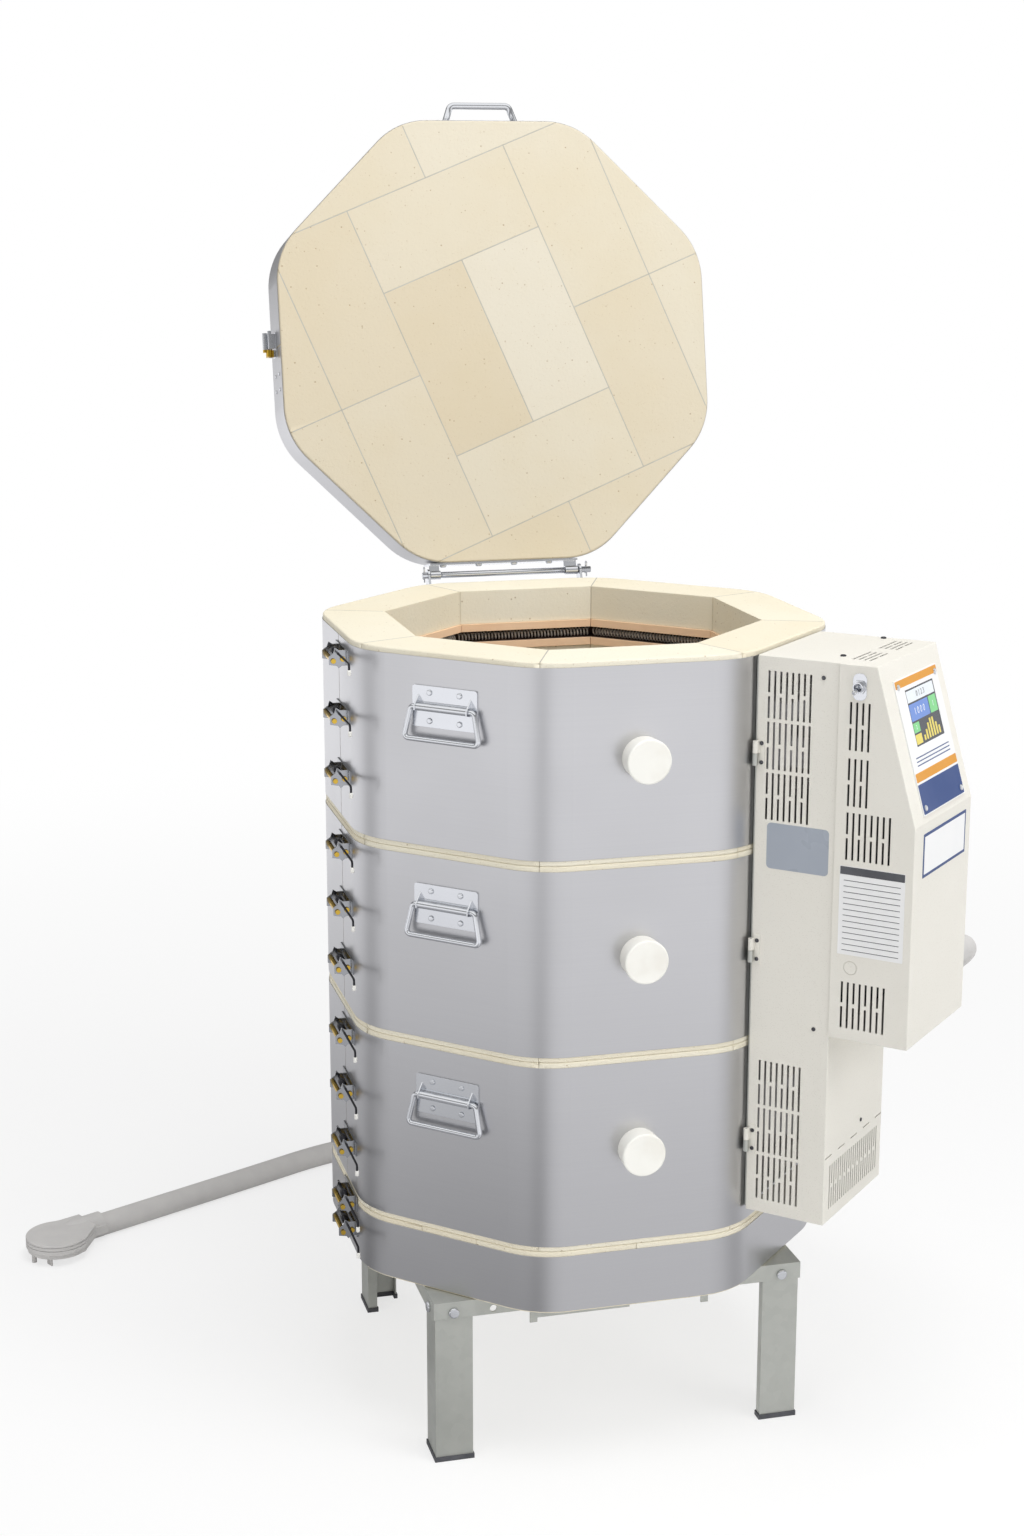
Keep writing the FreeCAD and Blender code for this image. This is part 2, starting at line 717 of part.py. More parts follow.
def handle_plate(k):
    """Backplate with a rolled tunnel, two ears and four screw holes."""
    z = handle_height(k)
    half = HANDLE_PLATE_WIDTH / 2
    low = z - HANDLE_PLATE_HEIGHT / 2
    high = z + HANDLE_PLATE_HEIGHT / 2
    inner = -JACKET_APOTHEM
    outer = inner - HANDLE_PLATE_THICK
    plate = box(-half, half, outer, inner, low, high)
    upright = [e for e in plate.Edges if abs(e.BoundBox.YLength - HANDLE_PLATE_THICK) < 0.01]
    plate = plate.makeFillet(HANDLE_PLATE_CORNER, upright)
    axis_y = -bail_axis_n()
    length = HANDLE_TUNNEL_LENGTH / 2
    tunnel = cylinder(HANDLE_TUNNEL_RADIUS, (-length, axis_y, z), (length, axis_y, z))
    web = box(-length, length, axis_y, inner, z - HANDLE_TUNNEL_RADIUS * 0.8, z + HANDLE_TUNNEL_RADIUS * 0.8)
    pieces = [plate, tunnel, web]
    for side in (-1, 1):
        pieces.append(handle_ear(side, z, axis_y, inner))
    whole = fused(pieces)
    bore = BAIL_RADIUS + BAIL_CLEARANCE
    whole = whole.cut(cylinder(bore, (-half - 1, axis_y, z), (half + 1, axis_y, z)))
    for x in (-HANDLE_SCREW_T, HANDLE_SCREW_T):
        for rise in (-HANDLE_SCREW_UP, HANDLE_SCREW_UP):
            hole = cylinder(SCREW_SHANK_RADIUS, (x, outer - 1, z + rise), (x, inner + 1, z + rise))
            whole = whole.cut(hole)
    return whole


def handle_ear(side, z, axis_y, inner):
    """Triangular ear beside the tunnel that carries the bail's end."""
    x = side * (HANDLE_TUNNEL_LENGTH / 2)
    thick = side * EAR_THICK
    tip = axis_y - BAIL_RADIUS - 2.2
    points = [(x, inner, z + 15.0), (x, tip, z + 2.0), (x, tip, z - 3.5),
              (x, axis_y + 3.0, z - 5.5), (x, inner, z - 5.5)]
    return prism(points, (thick, 0, 0))


def handle_bail(k):
    """Round-bar bail hanging from the tunnel."""
    z = handle_height(k)
    axis_y = -bail_axis_n()
    low = z - BAIL_DROP
    lean_y = axis_y - BAIL_LEAN
    inner = HANDLE_TUNNEL_LENGTH / 2 - 6.0
    points = [(-inner, axis_y, z), (-BAIL_TOP_HALF, axis_y, z), (-BAIL_BOTTOM_HALF, lean_y, low),
              (BAIL_BOTTOM_HALF, lean_y, low), (BAIL_TOP_HALF, axis_y, z), (inner, axis_y, z)]
    return bent_bar(points, BAIL_RADIUS, BAIL_RADIUS * 1.6)


def bent_bar(points, radius, bend):
    """Round bar along straight runs joined by tangent arcs."""
    wire = bent_path([Vector(*p) for p in points], [bend] * (len(points) - 2))
    return swept(wire, radius)


def bent_path(points, radii):
    """Runs and tangent arcs through the points, with a radius for each inner point."""
    edges = []
    last = points[0]
    for i in range(1, len(points) - 1):
        before = (points[i] - points[i - 1]).normalize()
        after = (points[i + 1] - points[i]).normalize()
        angle = before.getAngle(after)
        cut = radii[i - 1] * math.tan(angle / 2)
        start = points[i] - before * cut
        end = points[i] + after * cut
        inward = (after - before).normalize()
        centre = points[i] + inward * (radii[i - 1] / math.cos(angle / 2))
        middle = centre - inward * radii[i - 1]
        if (start - last).Length > 1e-4:
            edges.append(Part.LineSegment(last, start).toShape())
        edges.append(Part.Arc(start, middle, end).toShape())
        last = end
    edges.append(Part.LineSegment(last, points[-1]).toShape())
    return Part.Wire(edges)


def swept(wire, radius):
    """A round section carried along a wire."""
    first = wire.Edges[0]
    start = first.Vertexes[0].Point
    direction = first.tangentAt(first.FirstParameter)
    ring = Part.Wire([Part.makeCircle(radius, start, direction)])
    return wire.makePipeShell([ring], True, False)


def domed(radius, height, x, y, z):
    """Low domed head that faces -Y, seated at y."""
    head = cylinder(radius, (x, y - height, z), (x, y, z))
    rim = [head.Edges[e] for e in outer_rim(head, y - height)]
    return head.makeFillet(height * 0.7, rim)


def screw(x, y, z, length=SCREW_LENGTH, radius=SCREW_HEAD_RADIUS, height=SCREW_HEAD_HEIGHT):
    """Pan-head screw that faces -Y, its head seated at y."""
    shank = cylinder(SCREW_SHANK_RADIUS, (x, y, z), (x, y + length, z))
    return fused([domed(radius, height, x, y, z), shank])


def handle_screws():
    screws = []
    seat = -JACKET_APOTHEM - HANDLE_PLATE_THICK
    for face in HANDLE_FACES:
        for k in range(SECTION_COUNT):
            z = handle_height(k)
            for x in (-HANDLE_SCREW_T, HANDLE_SCREW_T):
                for rise in (-HANDLE_SCREW_UP, HANDLE_SCREW_UP):
                    screws.append(turned(screw(x, seat, z + rise, HANDLE_PLATE_THICK), face))
    return screws


# Jacket clamps

def clamp_heights():
    heights = []
    for k in range(SECTION_COUNT):
        for drop in CLAMP_DROPS:
            heights.append(section_top(k) - drop)
    for drop in FLOOR_CLAMP_DROPS:
        heights.append(FLOOR_TOP - drop)
    return heights


def clamp_housing(z):
    """Folded steel saddle with two cheeks that hold the barrels and the rod."""
    inner = -JACKET_APOTHEM
    base = box(CLAMP_BASE_LOW_T, CLAMP_BASE_HIGH_T, inner - CLAMP_STEEL, inner, z - CLAMP_BELOW, z + CLAMP_ABOVE)
    pieces = [base]
    tip = inner - CLAMP_DEPTH
    outline = [(inner, z - CLAMP_BELOW), (inner - 7.0, z - CLAMP_BELOW), (inner - 10.5, z - CLAMP_BELOW - 3.0),
               (inner - 13.0, z - CLAMP_BELOW), (tip, z - 12.5), (tip, z - 3.0), (inner - 16.5, z + 1.0),
               (inner - 14.5, z + CLAMP_ABOVE + 3.0), (inner - 10.0, z + CLAMP_ABOVE), (inner, z + CLAMP_ABOVE)]
    for t in (CLAMP_LOW_T, CLAMP_HIGH_T - CLAMP_STEEL):
        pieces.append(prism([(t, y, height) for y, height in outline], (CLAMP_STEEL, 0, 0)))
    whole = fused(pieces)
    cutters = []
    for out, rise in (BARREL_OUTER, BARREL_INNER):
        cutters.append(cylinder(BARREL_RADIUS, (CLAMP_BASE_LOW_T, inner - out, z + rise),
                                (CLAMP_BASE_HIGH_T, inner - out, z + rise)))
    bore = CLAMP_ROD_RADIUS + CLAMP_ROD_CLEARANCE
    cutters.append(cylinder(bore, (CLAMP_BASE_LOW_T, inner - CLAMP_ROD_OUT, z),
                            (CLAMP_BASE_HIGH_T, inner - CLAMP_ROD_OUT, z)))
    return whole.cut(cutters)


def clamp_barrels(z):
    """Two spring barrels held in the cheeks."""
    inner = -JACKET_APOTHEM
    barrels = []
    for out, rise in (BARREL_OUTER, BARREL_INNER):
        start = (CLAMP_LOW_T - BARREL_PROUD, inner - out, z + rise)
        end = (CLAMP_HIGH_T + BARREL_PROUD, inner - out, z + rise)
        barrels.append(cylinder(BARREL_RADIUS, start, end))
    return barrels


def clamp_rod(z):
    """Tensioning rod with a hub between the cheeks and its front end bent down to a round tip."""
    y = -JACKET_APOTHEM - CLAMP_ROD_OUT
    points = [(CLAMP_ROD_LOW_T, y, z), (CLAMP_ROD_HIGH_T, y, z), (CLAMP_ROD_HIGH_T, y, z - CLAMP_ROD_BEND)]
    rod = bent_bar(points, CLAMP_ROD_RADIUS, CLAMP_ROD_RADIUS * 2.2)
    tip = Part.makeSphere(CLAMP_TIP_RADIUS, Vector(*points[-1]))
    hub = cylinder(CLAMP_HUB_RADIUS, (CLAMP_HUB_T[0], y, z), (CLAMP_HUB_T[1], y, z))
    return fused([rod, tip, hub])


# Lid, modelled closed and then swung open

def opened(shape):
    copy = shape.copy()
    copy.rotate(Vector(0, HINGE_Y, HINGE_Z), Vector(1, 0, 0), -LID_OPEN_ANGLE)
    return copy


def lid_bricks():
    return brick_slab(RIM, RIM + LID_THICK, LID_TURN)


def lid_band():
    """Steel band round the lid's edge, with a gap under its clamp."""
    low = RIM + LID_BAND_MARGIN
    high = RIM + LID_THICK - LID_BAND_MARGIN
    band = round_octagon(JACKET_APOTHEM, CORNER_RADIUS, low, high)
    band = band.cut(round_octagon(OUTER_APOTHEM, CORNER_RADIUS - JACKET_THICK, low - 1, high + 1))
    seam = box(-SEAM_GAP / 2, SEAM_GAP / 2, -JACKET_APOTHEM - 1, -OUTER_APOTHEM + 1, low - 1, high + 1)
    return band.cut(turned(seam, -90))


def band_clamp():
    """Folded lug on the lid band, its draw bolt with a lobed nut, and a spring barrel outside."""
    inner = -JACKET_APOTHEM
    z = RIM + BAND_CLAMP_RISE
    t0, t1 = BAND_CLAMP_T
    half = BAND_CLAMP_HALF
    base = box(t0, t1, inner - CLAMP_STEEL, inner, z - half, z + half)
    lug_start = t0 + BAND_NUT_THICK + 2.0
    lug = box(lug_start, t1 - 2.0, inner - BAND_CLAMP_OUT, inner, z - half + 3.0, z + half - 3.0)
    folds = [e for e in lug.Edges if e.BoundBox.XLength > 1 and abs(e.BoundBox.YMin - inner + BAND_CLAMP_OUT) < 0.01]
    lug = lug.makeFillet(BAND_LUG_EDGE, folds)
    bolt_y = inner - BAND_BOLT_OUT
    bolt = cylinder(BAND_BOLT_RADIUS, (t0, bolt_y, z), (t1 + 3.0, bolt_y, z))
    barrel_y = inner - BAND_BARREL_OUT
    barrel = cylinder(BAND_BARREL_RADIUS, (lug_start - 4.0, barrel_y, z), (t1, barrel_y, z))
    return fused([base, lug, bolt, barrel] + nut_lobes(t0 + 1.0, bolt_y, z))


def nut_lobes(start, y, z):
    """Round lobes of a hand nut about a bolt along +X."""
    lobes = []
    for k in range(LOBE_COUNT):
        angle = math.radians(360.0 / LOBE_COUNT * k + 30.0)
        lobe_y = y - LOBE_REACH * math.sin(angle)
        lobe_z = z + LOBE_REACH * math.cos(angle)
        lobes.append(cylinder(LOBE_RADIUS, (start, lobe_y, lobe_z), (start + BAND_NUT_THICK, lobe_y, lobe_z)))
    return lobes


def hexagon_nut(radius, start, thick):
    """Hexagonal nut along +X from start."""
    points = []
    for k in range(6):
        angle = math.radians(60.0 * k)
        points.append((start[0], start[1] + radius * math.cos(angle), start[2] + radius * math.sin(angle)))
    return prism(points, (thick, 0, 0))


def lid_handle():
    """Lift handle of round bar with a flat pad at each foot."""
    inner = -JACKET_APOTHEM
    z = RIM + LIFT_RISE
    seat = inner - LIFT_PAD_THICK * 0.5
    outer = inner - LIFT_OUT + LIFT_RADIUS
    points = [(LIFT_X - LIFT_FOOT_HALF, seat, z), (LIFT_X - LIFT_TOP_HALF, outer, z),
              (LIFT_X + LIFT_TOP_HALF, outer, z), (LIFT_X + LIFT_FOOT_HALF, seat, z)]
    bar = bent_bar(points, LIFT_RADIUS, LIFT_RADIUS * 1.7)
    bar = bar.common(box(-200, 200, inner - 60, inner, z - 20, z + 20))
    pieces = [bar]
    for side in (-1, 1):
        near = LIFT_X + side * (LIFT_FOOT_HALF - 8.0)
        far = LIFT_X + side * (LIFT_SCREW_HALF + 7.0)
        low, high = sorted((near, far))
        pad = box(low, high, inner - LIFT_PAD_THICK, inner, z - LIFT_PAD_HALF_WIDTH, z + LIFT_PAD_HALF_WIDTH)
        hole_x = LIFT_X + side * LIFT_SCREW_HALF
        pad = pad.cut(cylinder(SCREW_SHANK_RADIUS, (hole_x, inner - 5, z), (hole_x, inner + 5, z)))
        pieces.append(pad)
    return fused(pieces)


def hinge_plate():
    """Plate on the back of the lid band with two sleeves that turn on the rod."""
    seat = JACKET_APOTHEM
    low = RIM + LID_BAND_MARGIN + 1.0
    left = SLEEVE_LEFT[0]
    right = SLEEVE_RIGHT[1]
    plate = box(left, right, seat, seat + HINGE_PLATE_THICK, low, low + HINGE_PLATE_HEIGHT)
    outer = HINGE_ROD_RADIUS + HINGE_CLEARANCE + SLEEVE_WALL
    pieces = [plate]
    for x0, x1 in (SLEEVE_LEFT, SLEEVE_RIGHT):
        pieces.append(cylinder(outer, (x0, HINGE_Y, HINGE_Z), (x1, HINGE_Y, HINGE_Z)))
        web_top = HINGE_Z + outer
        pieces.append(box(x0, x1, seat, HINGE_Y, web_top - SLEEVE_WALL, web_top))
    whole = fused(pieces)
    bore = HINGE_ROD_RADIUS + HINGE_CLEARANCE
    cutters = [cylinder(bore, (left - 1, HINGE_Y, HINGE_Z), (right + 1, HINGE_Y, HINGE_Z))]
    z = RIM + HINGE_SCREW_RISE
    for x in HINGE_SCREWS_X:
        cutters.append(cylinder(SCREW_SHANK_RADIUS, (x, seat - 1, z), (x, seat + HINGE_PLATE_THICK + 1, z)))
    return whole.cut(cutters)


def hinge_bracket():
    """Plate on the back jacket with two ears that carry the rod."""
    seat = JACKET_APOTHEM
    ear_left = SLEEVE_LEFT[0] - BRACKET_GAP - BRACKET_STEEL
    ear_right = SLEEVE_RIGHT[1] + BRACKET_GAP
    top = RIM - BRACKET_TOP_DROP
    low = top - BRACKET_LOW
    plate = box(ear_left, ear_right + BRACKET_STEEL, seat, seat + BRACKET_STEEL, low, top)
    pieces = [plate]
    for x in (ear_left, ear_right):
        web = prism([(x, seat, low), (x, seat, top), (x, HINGE_Y - BRACKET_EAR_RADIUS, HINGE_Z),
                     (x, HINGE_Y + BRACKET_EAR_RADIUS, HINGE_Z), (x, HINGE_Y, low + 12.0)], (BRACKET_STEEL, 0, 0))
        pieces.append(web)
        pieces.append(cylinder(BRACKET_EAR_RADIUS, (x, HINGE_Y, HINGE_Z), (x + BRACKET_STEEL, HINGE_Y, HINGE_Z)))
    whole = fused(pieces)
    rod = cylinder(HINGE_ROD_RADIUS, (ear_left - 1, HINGE_Y, HINGE_Z), (ear_right + 5, HINGE_Y, HINGE_Z))
    cutters = [rod]
    for x in HINGE_SCREWS_X:
        cutters.append(cylinder(SCREW_SHANK_RADIUS, (x, seat - 1, low + 18.0), (x, seat + 5, low + 18.0)))
    return whole.cut(cutters)


def hinge_rod():
    start, end = HINGE_ROD_ENDS
    rod = cylinder(HINGE_ROD_RADIUS, (start, HINGE_Y, HINGE_Z), (end, HINGE_Y, HINGE_Z))
    for x in clip_places():
        hole = cylinder(CLIP_WIRE_RADIUS, (x, HINGE_Y, HINGE_Z - 9), (x, HINGE_Y, HINGE_Z + 9))
        rod = rod.cut(hole)
    return rod


def clip_places():
    return (HINGE_ROD_ENDS[0] + 2.6, HINGE_ROD_ENDS[1] - CLIP_OFFSET)


def hinge_clips():
    """Hairpin clips: a straight leg through the rod and a bowed leg beside it."""
    clips = []
    for x in clip_places():
        top = HINGE_Z + 10.0
        low = HINGE_Z - 9.0
        wire = CLIP_WIRE_RADIUS
        side = HINGE_Y + HINGE_ROD_RADIUS + wire + 0.3
        points = [(x, HINGE_Y, low), (x, HINGE_Y, top), (x, side + 0.6, top),
                  (x, side, HINGE_Z), (x, side + 1.6, low + 3)]
        path = bent_path([Vector(*p) for p in points], [2.0, 2.0, 6.0])
        clips.append(swept(path, wire))
    return group(clips)


# Boxes, modelled facing front and then turned to their face

def vent_group(columns, rows, side_start, top, pitch=SLOT_PITCH, first_bridged=0):
    """Slot places of a vent group: low side, high side, low z, high z.
    Every other column is split in two by a bridge, from the first bridged one on."""
    slots = []
    for row in range(rows):
        high = top - row * SLOT_ROW
        low = high - SLOT_LENGTH
        middle = (high + low) / 2
        for column in range(columns):
            near = side_start + column * pitch
            far = near + SLOT_WIDTH
            if column % 2 == first_bridged:
                slots.append((near, far, low, middle - SLOT_BRIDGE / 2))
                slots.append((near, far, middle + SLOT_BRIDGE / 2, high))
            else:
                slots.append((near, far, low, high))
    return slots


def side_slots(slots, t_low, t_high):
    """Cutters through both side walls for slots laid out along n."""
    cutters = [box(t_low - 1, t_high + 1, -far, -near, low, high) for near, far, low, high in slots]
    return Part.makeCompound(cutters)


def cover_vents():
    slots = []
    for top in COVER_VENT_TOPS:
        slots.extend(vent_group(COVER_VENT_COLUMN_COUNT, COVER_VENT_ROW_COUNT, COVER_VENT_N, top))
    return slots


def housing_vents():
    slots = []
    for columns, top in zip(HOUSING_VENT_COLUMN_COUNTS, HOUSING_VENT_TOPS):
        slots.extend(vent_group(columns, 1, HOUSING_VENT_N, top))
    return slots


def box_frame():
    """Ring of steel fixed to the jackets, with three hinge leaves, their knuckles and pins."""
    t0 = COVER_T[0] + FRAME_INSET
    t1 = COVER_T[1] - FRAME_INSET
    z0 = COVER_Z[0] + FRAME_INSET
    z1 = COVER_Z[1] - FRAME_INSET
    inner = -JACKET_APOTHEM
    outer = inner - FRAME_THICK
    ring = box(t0, t1, outer, inner, z0, z1)
    w = FRAME_WIDTH
    ring = ring.cut(box(t0 + w, t1 - w, outer - 1, inner + 1, z0 + w, z1 - w))
    pieces = [ring]
    for z in BOX_HINGE_HEIGHTS:
        low = z - KNUCKLE_LENGTH
        high = z - KNUCKLE_GAP
        pieces.append(box(BOX_HINGE_T, t0 + 1, outer, inner - 0.6, low, high))
        centre = (BOX_HINGE_T, -BOX_HINGE_N)
        pieces.append(cylinder(KNUCKLE_RADIUS, centre + (low,), centre + (high,)))
        pieces.append(cylinder(PIN_RADIUS, centre + (low,), centre + (z + KNUCKLE_LENGTH,)))
    return turned(fused(pieces), BOX_FACE)


def element_cover():
    """Vented sheet-steel cover with hinge leaves, open towards the kiln."""
    t0, t1 = COVER_T
    n0, n1 = COVER_N
    z0, z1 = COVER_Z
    s = BOX_STEEL
    shell = folded(box(t0, t1, -n1, -n0, z0, z1), -n0)
    shell = shell.cut(box(t0 + s, t1 - s, -n1 + s, -n0 + 1, z0 + s, z1 - s))
    pieces = [shell]
    for z in BOX_HINGE_HEIGHTS:
        centre = (BOX_HINGE_T, -BOX_HINGE_N)
        high = z + KNUCKLE_LENGTH
        pieces.append(cylinder(KNUCKLE_RADIUS, centre + (z,), centre + (high,)))
        pieces.append(box(BOX_HINGE_T, t0 + s, -BOX_HINGE_N - KNUCKLE_RADIUS, -BOX_HINGE_N - 1.0, z, high))
        leaf = box(t0 - LEAF_THICK, t0, -BOX_HINGE_N - 9.0, -BOX_HINGE_N - 1.0,
                   z - LEAF_HEIGHT / 2, z + LEAF_HEIGHT / 2)
        pieces.append(leaf)
    cover = fused(pieces)
    bores = []
    for n, t in TOP_SCREW_PLACES:
        bores.append(cylinder(SCREW_SHANK_RADIUS, (t, -n, z1 - 3), (t, -n, z1 + 1)))
    for z in BOX_HINGE_HEIGHTS:
        centre = (BOX_HINGE_T, -BOX_HINGE_N)
        bores.append(cylinder(PIN_RADIUS + PIN_CLEARANCE, centre + (z - 1,), centre + (z + KNUCKLE_LENGTH + 1,)))
    cover = cover.cut(bores)
    cover = cover.cut(side_slots(cover_vents(), t0, t1))
    cover = cover.cut(Part.makeCompound(front_slots(n1) + fold_slots(n1)))
    return turned(cover, BOX_FACE)


def front_slots(n):
    """Vent slots in the lower front of the element cover."""
    slots = vent_group(FRONT_VENT_COLUMN_COUNT, 1, FRONT_VENT_T, FRONT_VENT_TOP, FRONT_VENT_PITCH, 1)
    cutters = []
    for near, far, low, high in slots:
        cutters.append(box(near, far, -n - 1, -n + BOX_STEEL + 1, low, high))
    return cutters


def fold_slots(n):
    """Row of thin slots along the fold of the lower panel."""
    cutters = []
    low = FOLD_SLOT_LOW
    for k in range(FOLD_SLOT_COUNT):
        start = COVER_T[0] + FOLD_SLOT_MARGIN + k * FOLD_SLOT_PITCH
        cutters.append(box(start, start + FOLD_SLOT_LENGTH, -n - 1, -n + BOX_STEEL + 1, low, low + FOLD_SLOT_WIDTH))
    return cutters


def slope_angle():
    """Lean of the sloped front away from upright."""
    run = HOUSING_FRONT_N - HOUSING_TOP_N
    return math.atan2(run, COVER_Z[1] - HOUSING_KNEE_Z)


def housing_outline(inset):
    """Side profile of the control box as (n, z), drawn in by a wall's thickness."""
    top = COVER_Z[1]
    angle = slope_angle()
    back = COVER_N[1]
    level = HOUSING_TOP_N * math.cos(angle) + top * math.sin(angle) - inset
    high = top - inset
    front = HOUSING_FRONT_N - inset
    return [(back, high), ((level - high * math.sin(angle)) / math.cos(angle), high),
            (front, (level - front * math.cos(angle)) / math.sin(angle)),
            (front, HOUSING_LOW_Z + inset), (back, HOUSING_LOW_Z + inset)]


def control_housing():
    """Folded control box with vented sides and a sloped front, open at the back."""
    t0, t1 = HOUSING_T
    s = BOX_STEEL
    solid = folded(prism([(t0, -n, z) for n, z in housing_outline(0.0)], (t1 - t0, 0, 0)), -COVER_N[1])
    hollow = prism([(t0 + s, -n, z) for n, z in housing_outline(s)], (t1 - t0 - 2 * s, 0, 0))
    mouth = box(t0 + s, t1 - s, -COVER_N[1] - s, -COVER_N[1] + 1, HOUSING_LOW_Z + s, COVER_Z[1] - s)
    shell = solid.cut([hollow, mouth])
    shell = shell.cut(side_slots(housing_vents(), t0, t1))
    bush = cylinder(SWITCH_BUSH_RADIUS, (t0 - 1, -SWITCH_N, SWITCH_Z), (t0 + s + 1, -SWITCH_N, SWITCH_Z))
    inlet = cylinder(CORD_RADIUS + 0.5, (t1 - s - 1, -GLAND_N, GLAND_Z), (t1 + 1, -GLAND_N, GLAND_Z))
    shell = shell.cut([bush, inlet, knock_out()] + top_slots())
    window = on_slope(box(SCREEN_T[0] - 3, SCREEN_T[1] + 3, -1, s + 1, -SCREEN_DOWN[1] - 3, -SCREEN_DOWN[0] + 3))
    shell = shell.cut(window)
    return turned(shell, BOX_FACE)


def top_slots():
    """Two groups of slots across the box's top, every other one bridged in its middle."""
    cutters = []
    for start in TOP_VENT_T:
        end = start + TOP_VENT_LENGTH
        middle = (start + end) / 2
        for row in range(TOP_VENT_ROW_COUNT):
            near = COVER_N[1] + TOP_VENT_MARGIN + row * TOP_VENT_PITCH
            spans = [(start, end)]
            if row % 2 == 1:
                spans = [(start, middle - SLOT_BRIDGE / 2), (middle + SLOT_BRIDGE / 2, end)]
            for low, high in spans:
                cutters.append(box(low, high, -near - SLOT_WIDTH, -near, COVER_Z[1] - BOX_STEEL - 1, COVER_Z[1] + 1))
    return cutters


def knock_out():
    """Shallow round groove in the left wall, round a disc that can be punched out."""
    t = HOUSING_T[0]
    n, z = KNOCK_OUT
    start = (t - 1, -n, z)
    end = (t + KNOCK_OUT_DEPTH, -n, z)
    return cylinder(KNOCK_OUT_RADIUS, start, end).cut(cylinder(KNOCK_OUT_RADIUS - KNOCK_OUT_GROOVE, start, end))


def folded(shell, back):
    """The box with its bends rounded, except along the open back at y."""
    bends = []
    for edge in shell.Edges:
        at_back = abs(edge.BoundBox.YMin - back) < 0.01 and abs(edge.BoundBox.YMax - back) < 0.01
        if not at_back:
            bends.append(edge)
    return shell.makeFillet(BOX_BEND, bends)


def on_slope(shape):
    """Place a shape drawn on an upright front, with z down from the slope's top edge."""
    copy = shape.copy()
    copy.rotate(Vector(0, 0, 0), Vector(1, 0, 0), -math.degrees(slope_angle()))
    copy.translate(Vector(0, -HOUSING_TOP_N, COVER_Z[1]))
    return copy


def touch_panel():
    """Faceplate with the screen set into it and its housing behind."""
    t0, t1 = PANEL_T
    d0, d1 = PANEL_DOWN
    plate = box(t0, t1, -PANEL_THICK, 0, -d1, -d0)
    recess = box(SCREEN_T[0], SCREEN_T[1], -PANEL_THICK - 1, -PANEL_THICK + SCREEN_RECESS,
                 -SCREEN_DOWN[1], -SCREEN_DOWN[0])
    body = box(SCREEN_T[0] - 2, SCREEN_T[1] + 2, 0, BOARD_STANDOFF - 4.0, -SCREEN_DOWN[1] - 2, -SCREEN_DOWN[0] + 2)
    panel = fused([plate, body]).cut(recess)
    holes = [cylinder(SCREW_SHANK_RADIUS, (x, -5, z), (x, 5, z)) for x, z in panel_screw_places()]
    return turned(on_slope(panel.cut(holes)), BOX_FACE)


def panel_screw_places():
    t0, t1 = PANEL_T
    d0, d1 = PANEL_DOWN
    inset = PANEL_SCREW_INSET
    return [(t0 + inset, -d0 - inset), (t1 - inset, -d0 - inset),
            (t0 + inset, -d1 + inset), (t1 - inset, -d1 + inset)]


def control_board():
    """Circuit board with two connectors, on four standoffs behind the touch panel."""
    t0, t1 = PANEL_T
    d0, d1 = PANEL_DOWN
    m = 2.0
    back = BOARD_STANDOFF
    pieces = [box(t0 + m, t1 - m, back, back + BOARD_THICK, -d1 + m, -d0 - m)]
    for x, z in panel_screw_places():
        pieces.append(cylinder(SCREW_HEAD_RADIUS, (x, BOX_STEEL, z), (x, back, z)))
    pieces.append(box(t0 + 14, t1 - 14, back + BOARD_THICK, back + 11.0, -d1 + 14, -d1 + 24))
    pieces.append(box(t0 + 14, t0 + 44, back + BOARD_THICK, back + 15.0, -d0 - 60, -d0 - 30))
    return turned(on_slope(fused(pieces)), BOX_FACE)


def box_screws():
    """Panel screws, cover screws and hinge-leaf screws that ride on the boxes."""
    screws = []
    for x, z in panel_screw_places():
        screws.append(on_slope(screw(x, -PANEL_THICK, z, PANEL_THICK)))
    for z in BOX_HINGE_HEIGHTS:
        for rise in (-LEAF_SCREW_RISE, LEAF_SCREW_RISE):
            screws.append(side_screw(COVER_T[0] - LEAF_THICK, LEAF_SCREW_N, z + rise))
    for n, z in SIDE_SCREW_PLACES:
        screws.append(side_screw(COVER_T[0], n, z))
    t, z = FRONT_SCREW
    screws.append(domed(RIVET_RADIUS, RIVET_HEIGHT, t, -COVER_N[1], z))
    for n, t in TOP_SCREW_PLACES:
        pin = screw(0, 0, 0, BOX_STEEL)
        pin.rotate(Vector(0, 0, 0), Vector(1, 0, 0), -90)
        pin.translate(Vector(t, -n, COVER_Z[1]))
        screws.append(pin)
    return group([turned(piece, BOX_FACE) for piece in screws])


def side_screw(t, n, z):
    """Low round-headed screw on a left side wall."""
    head = domed(RIVET_RADIUS, RIVET_HEIGHT, 0, 0, 0)
    head.rotate(Vector(0, 0, 0), Vector(0, 0, 1), -90)
    head.translate(Vector(t, -n, z))
    return head


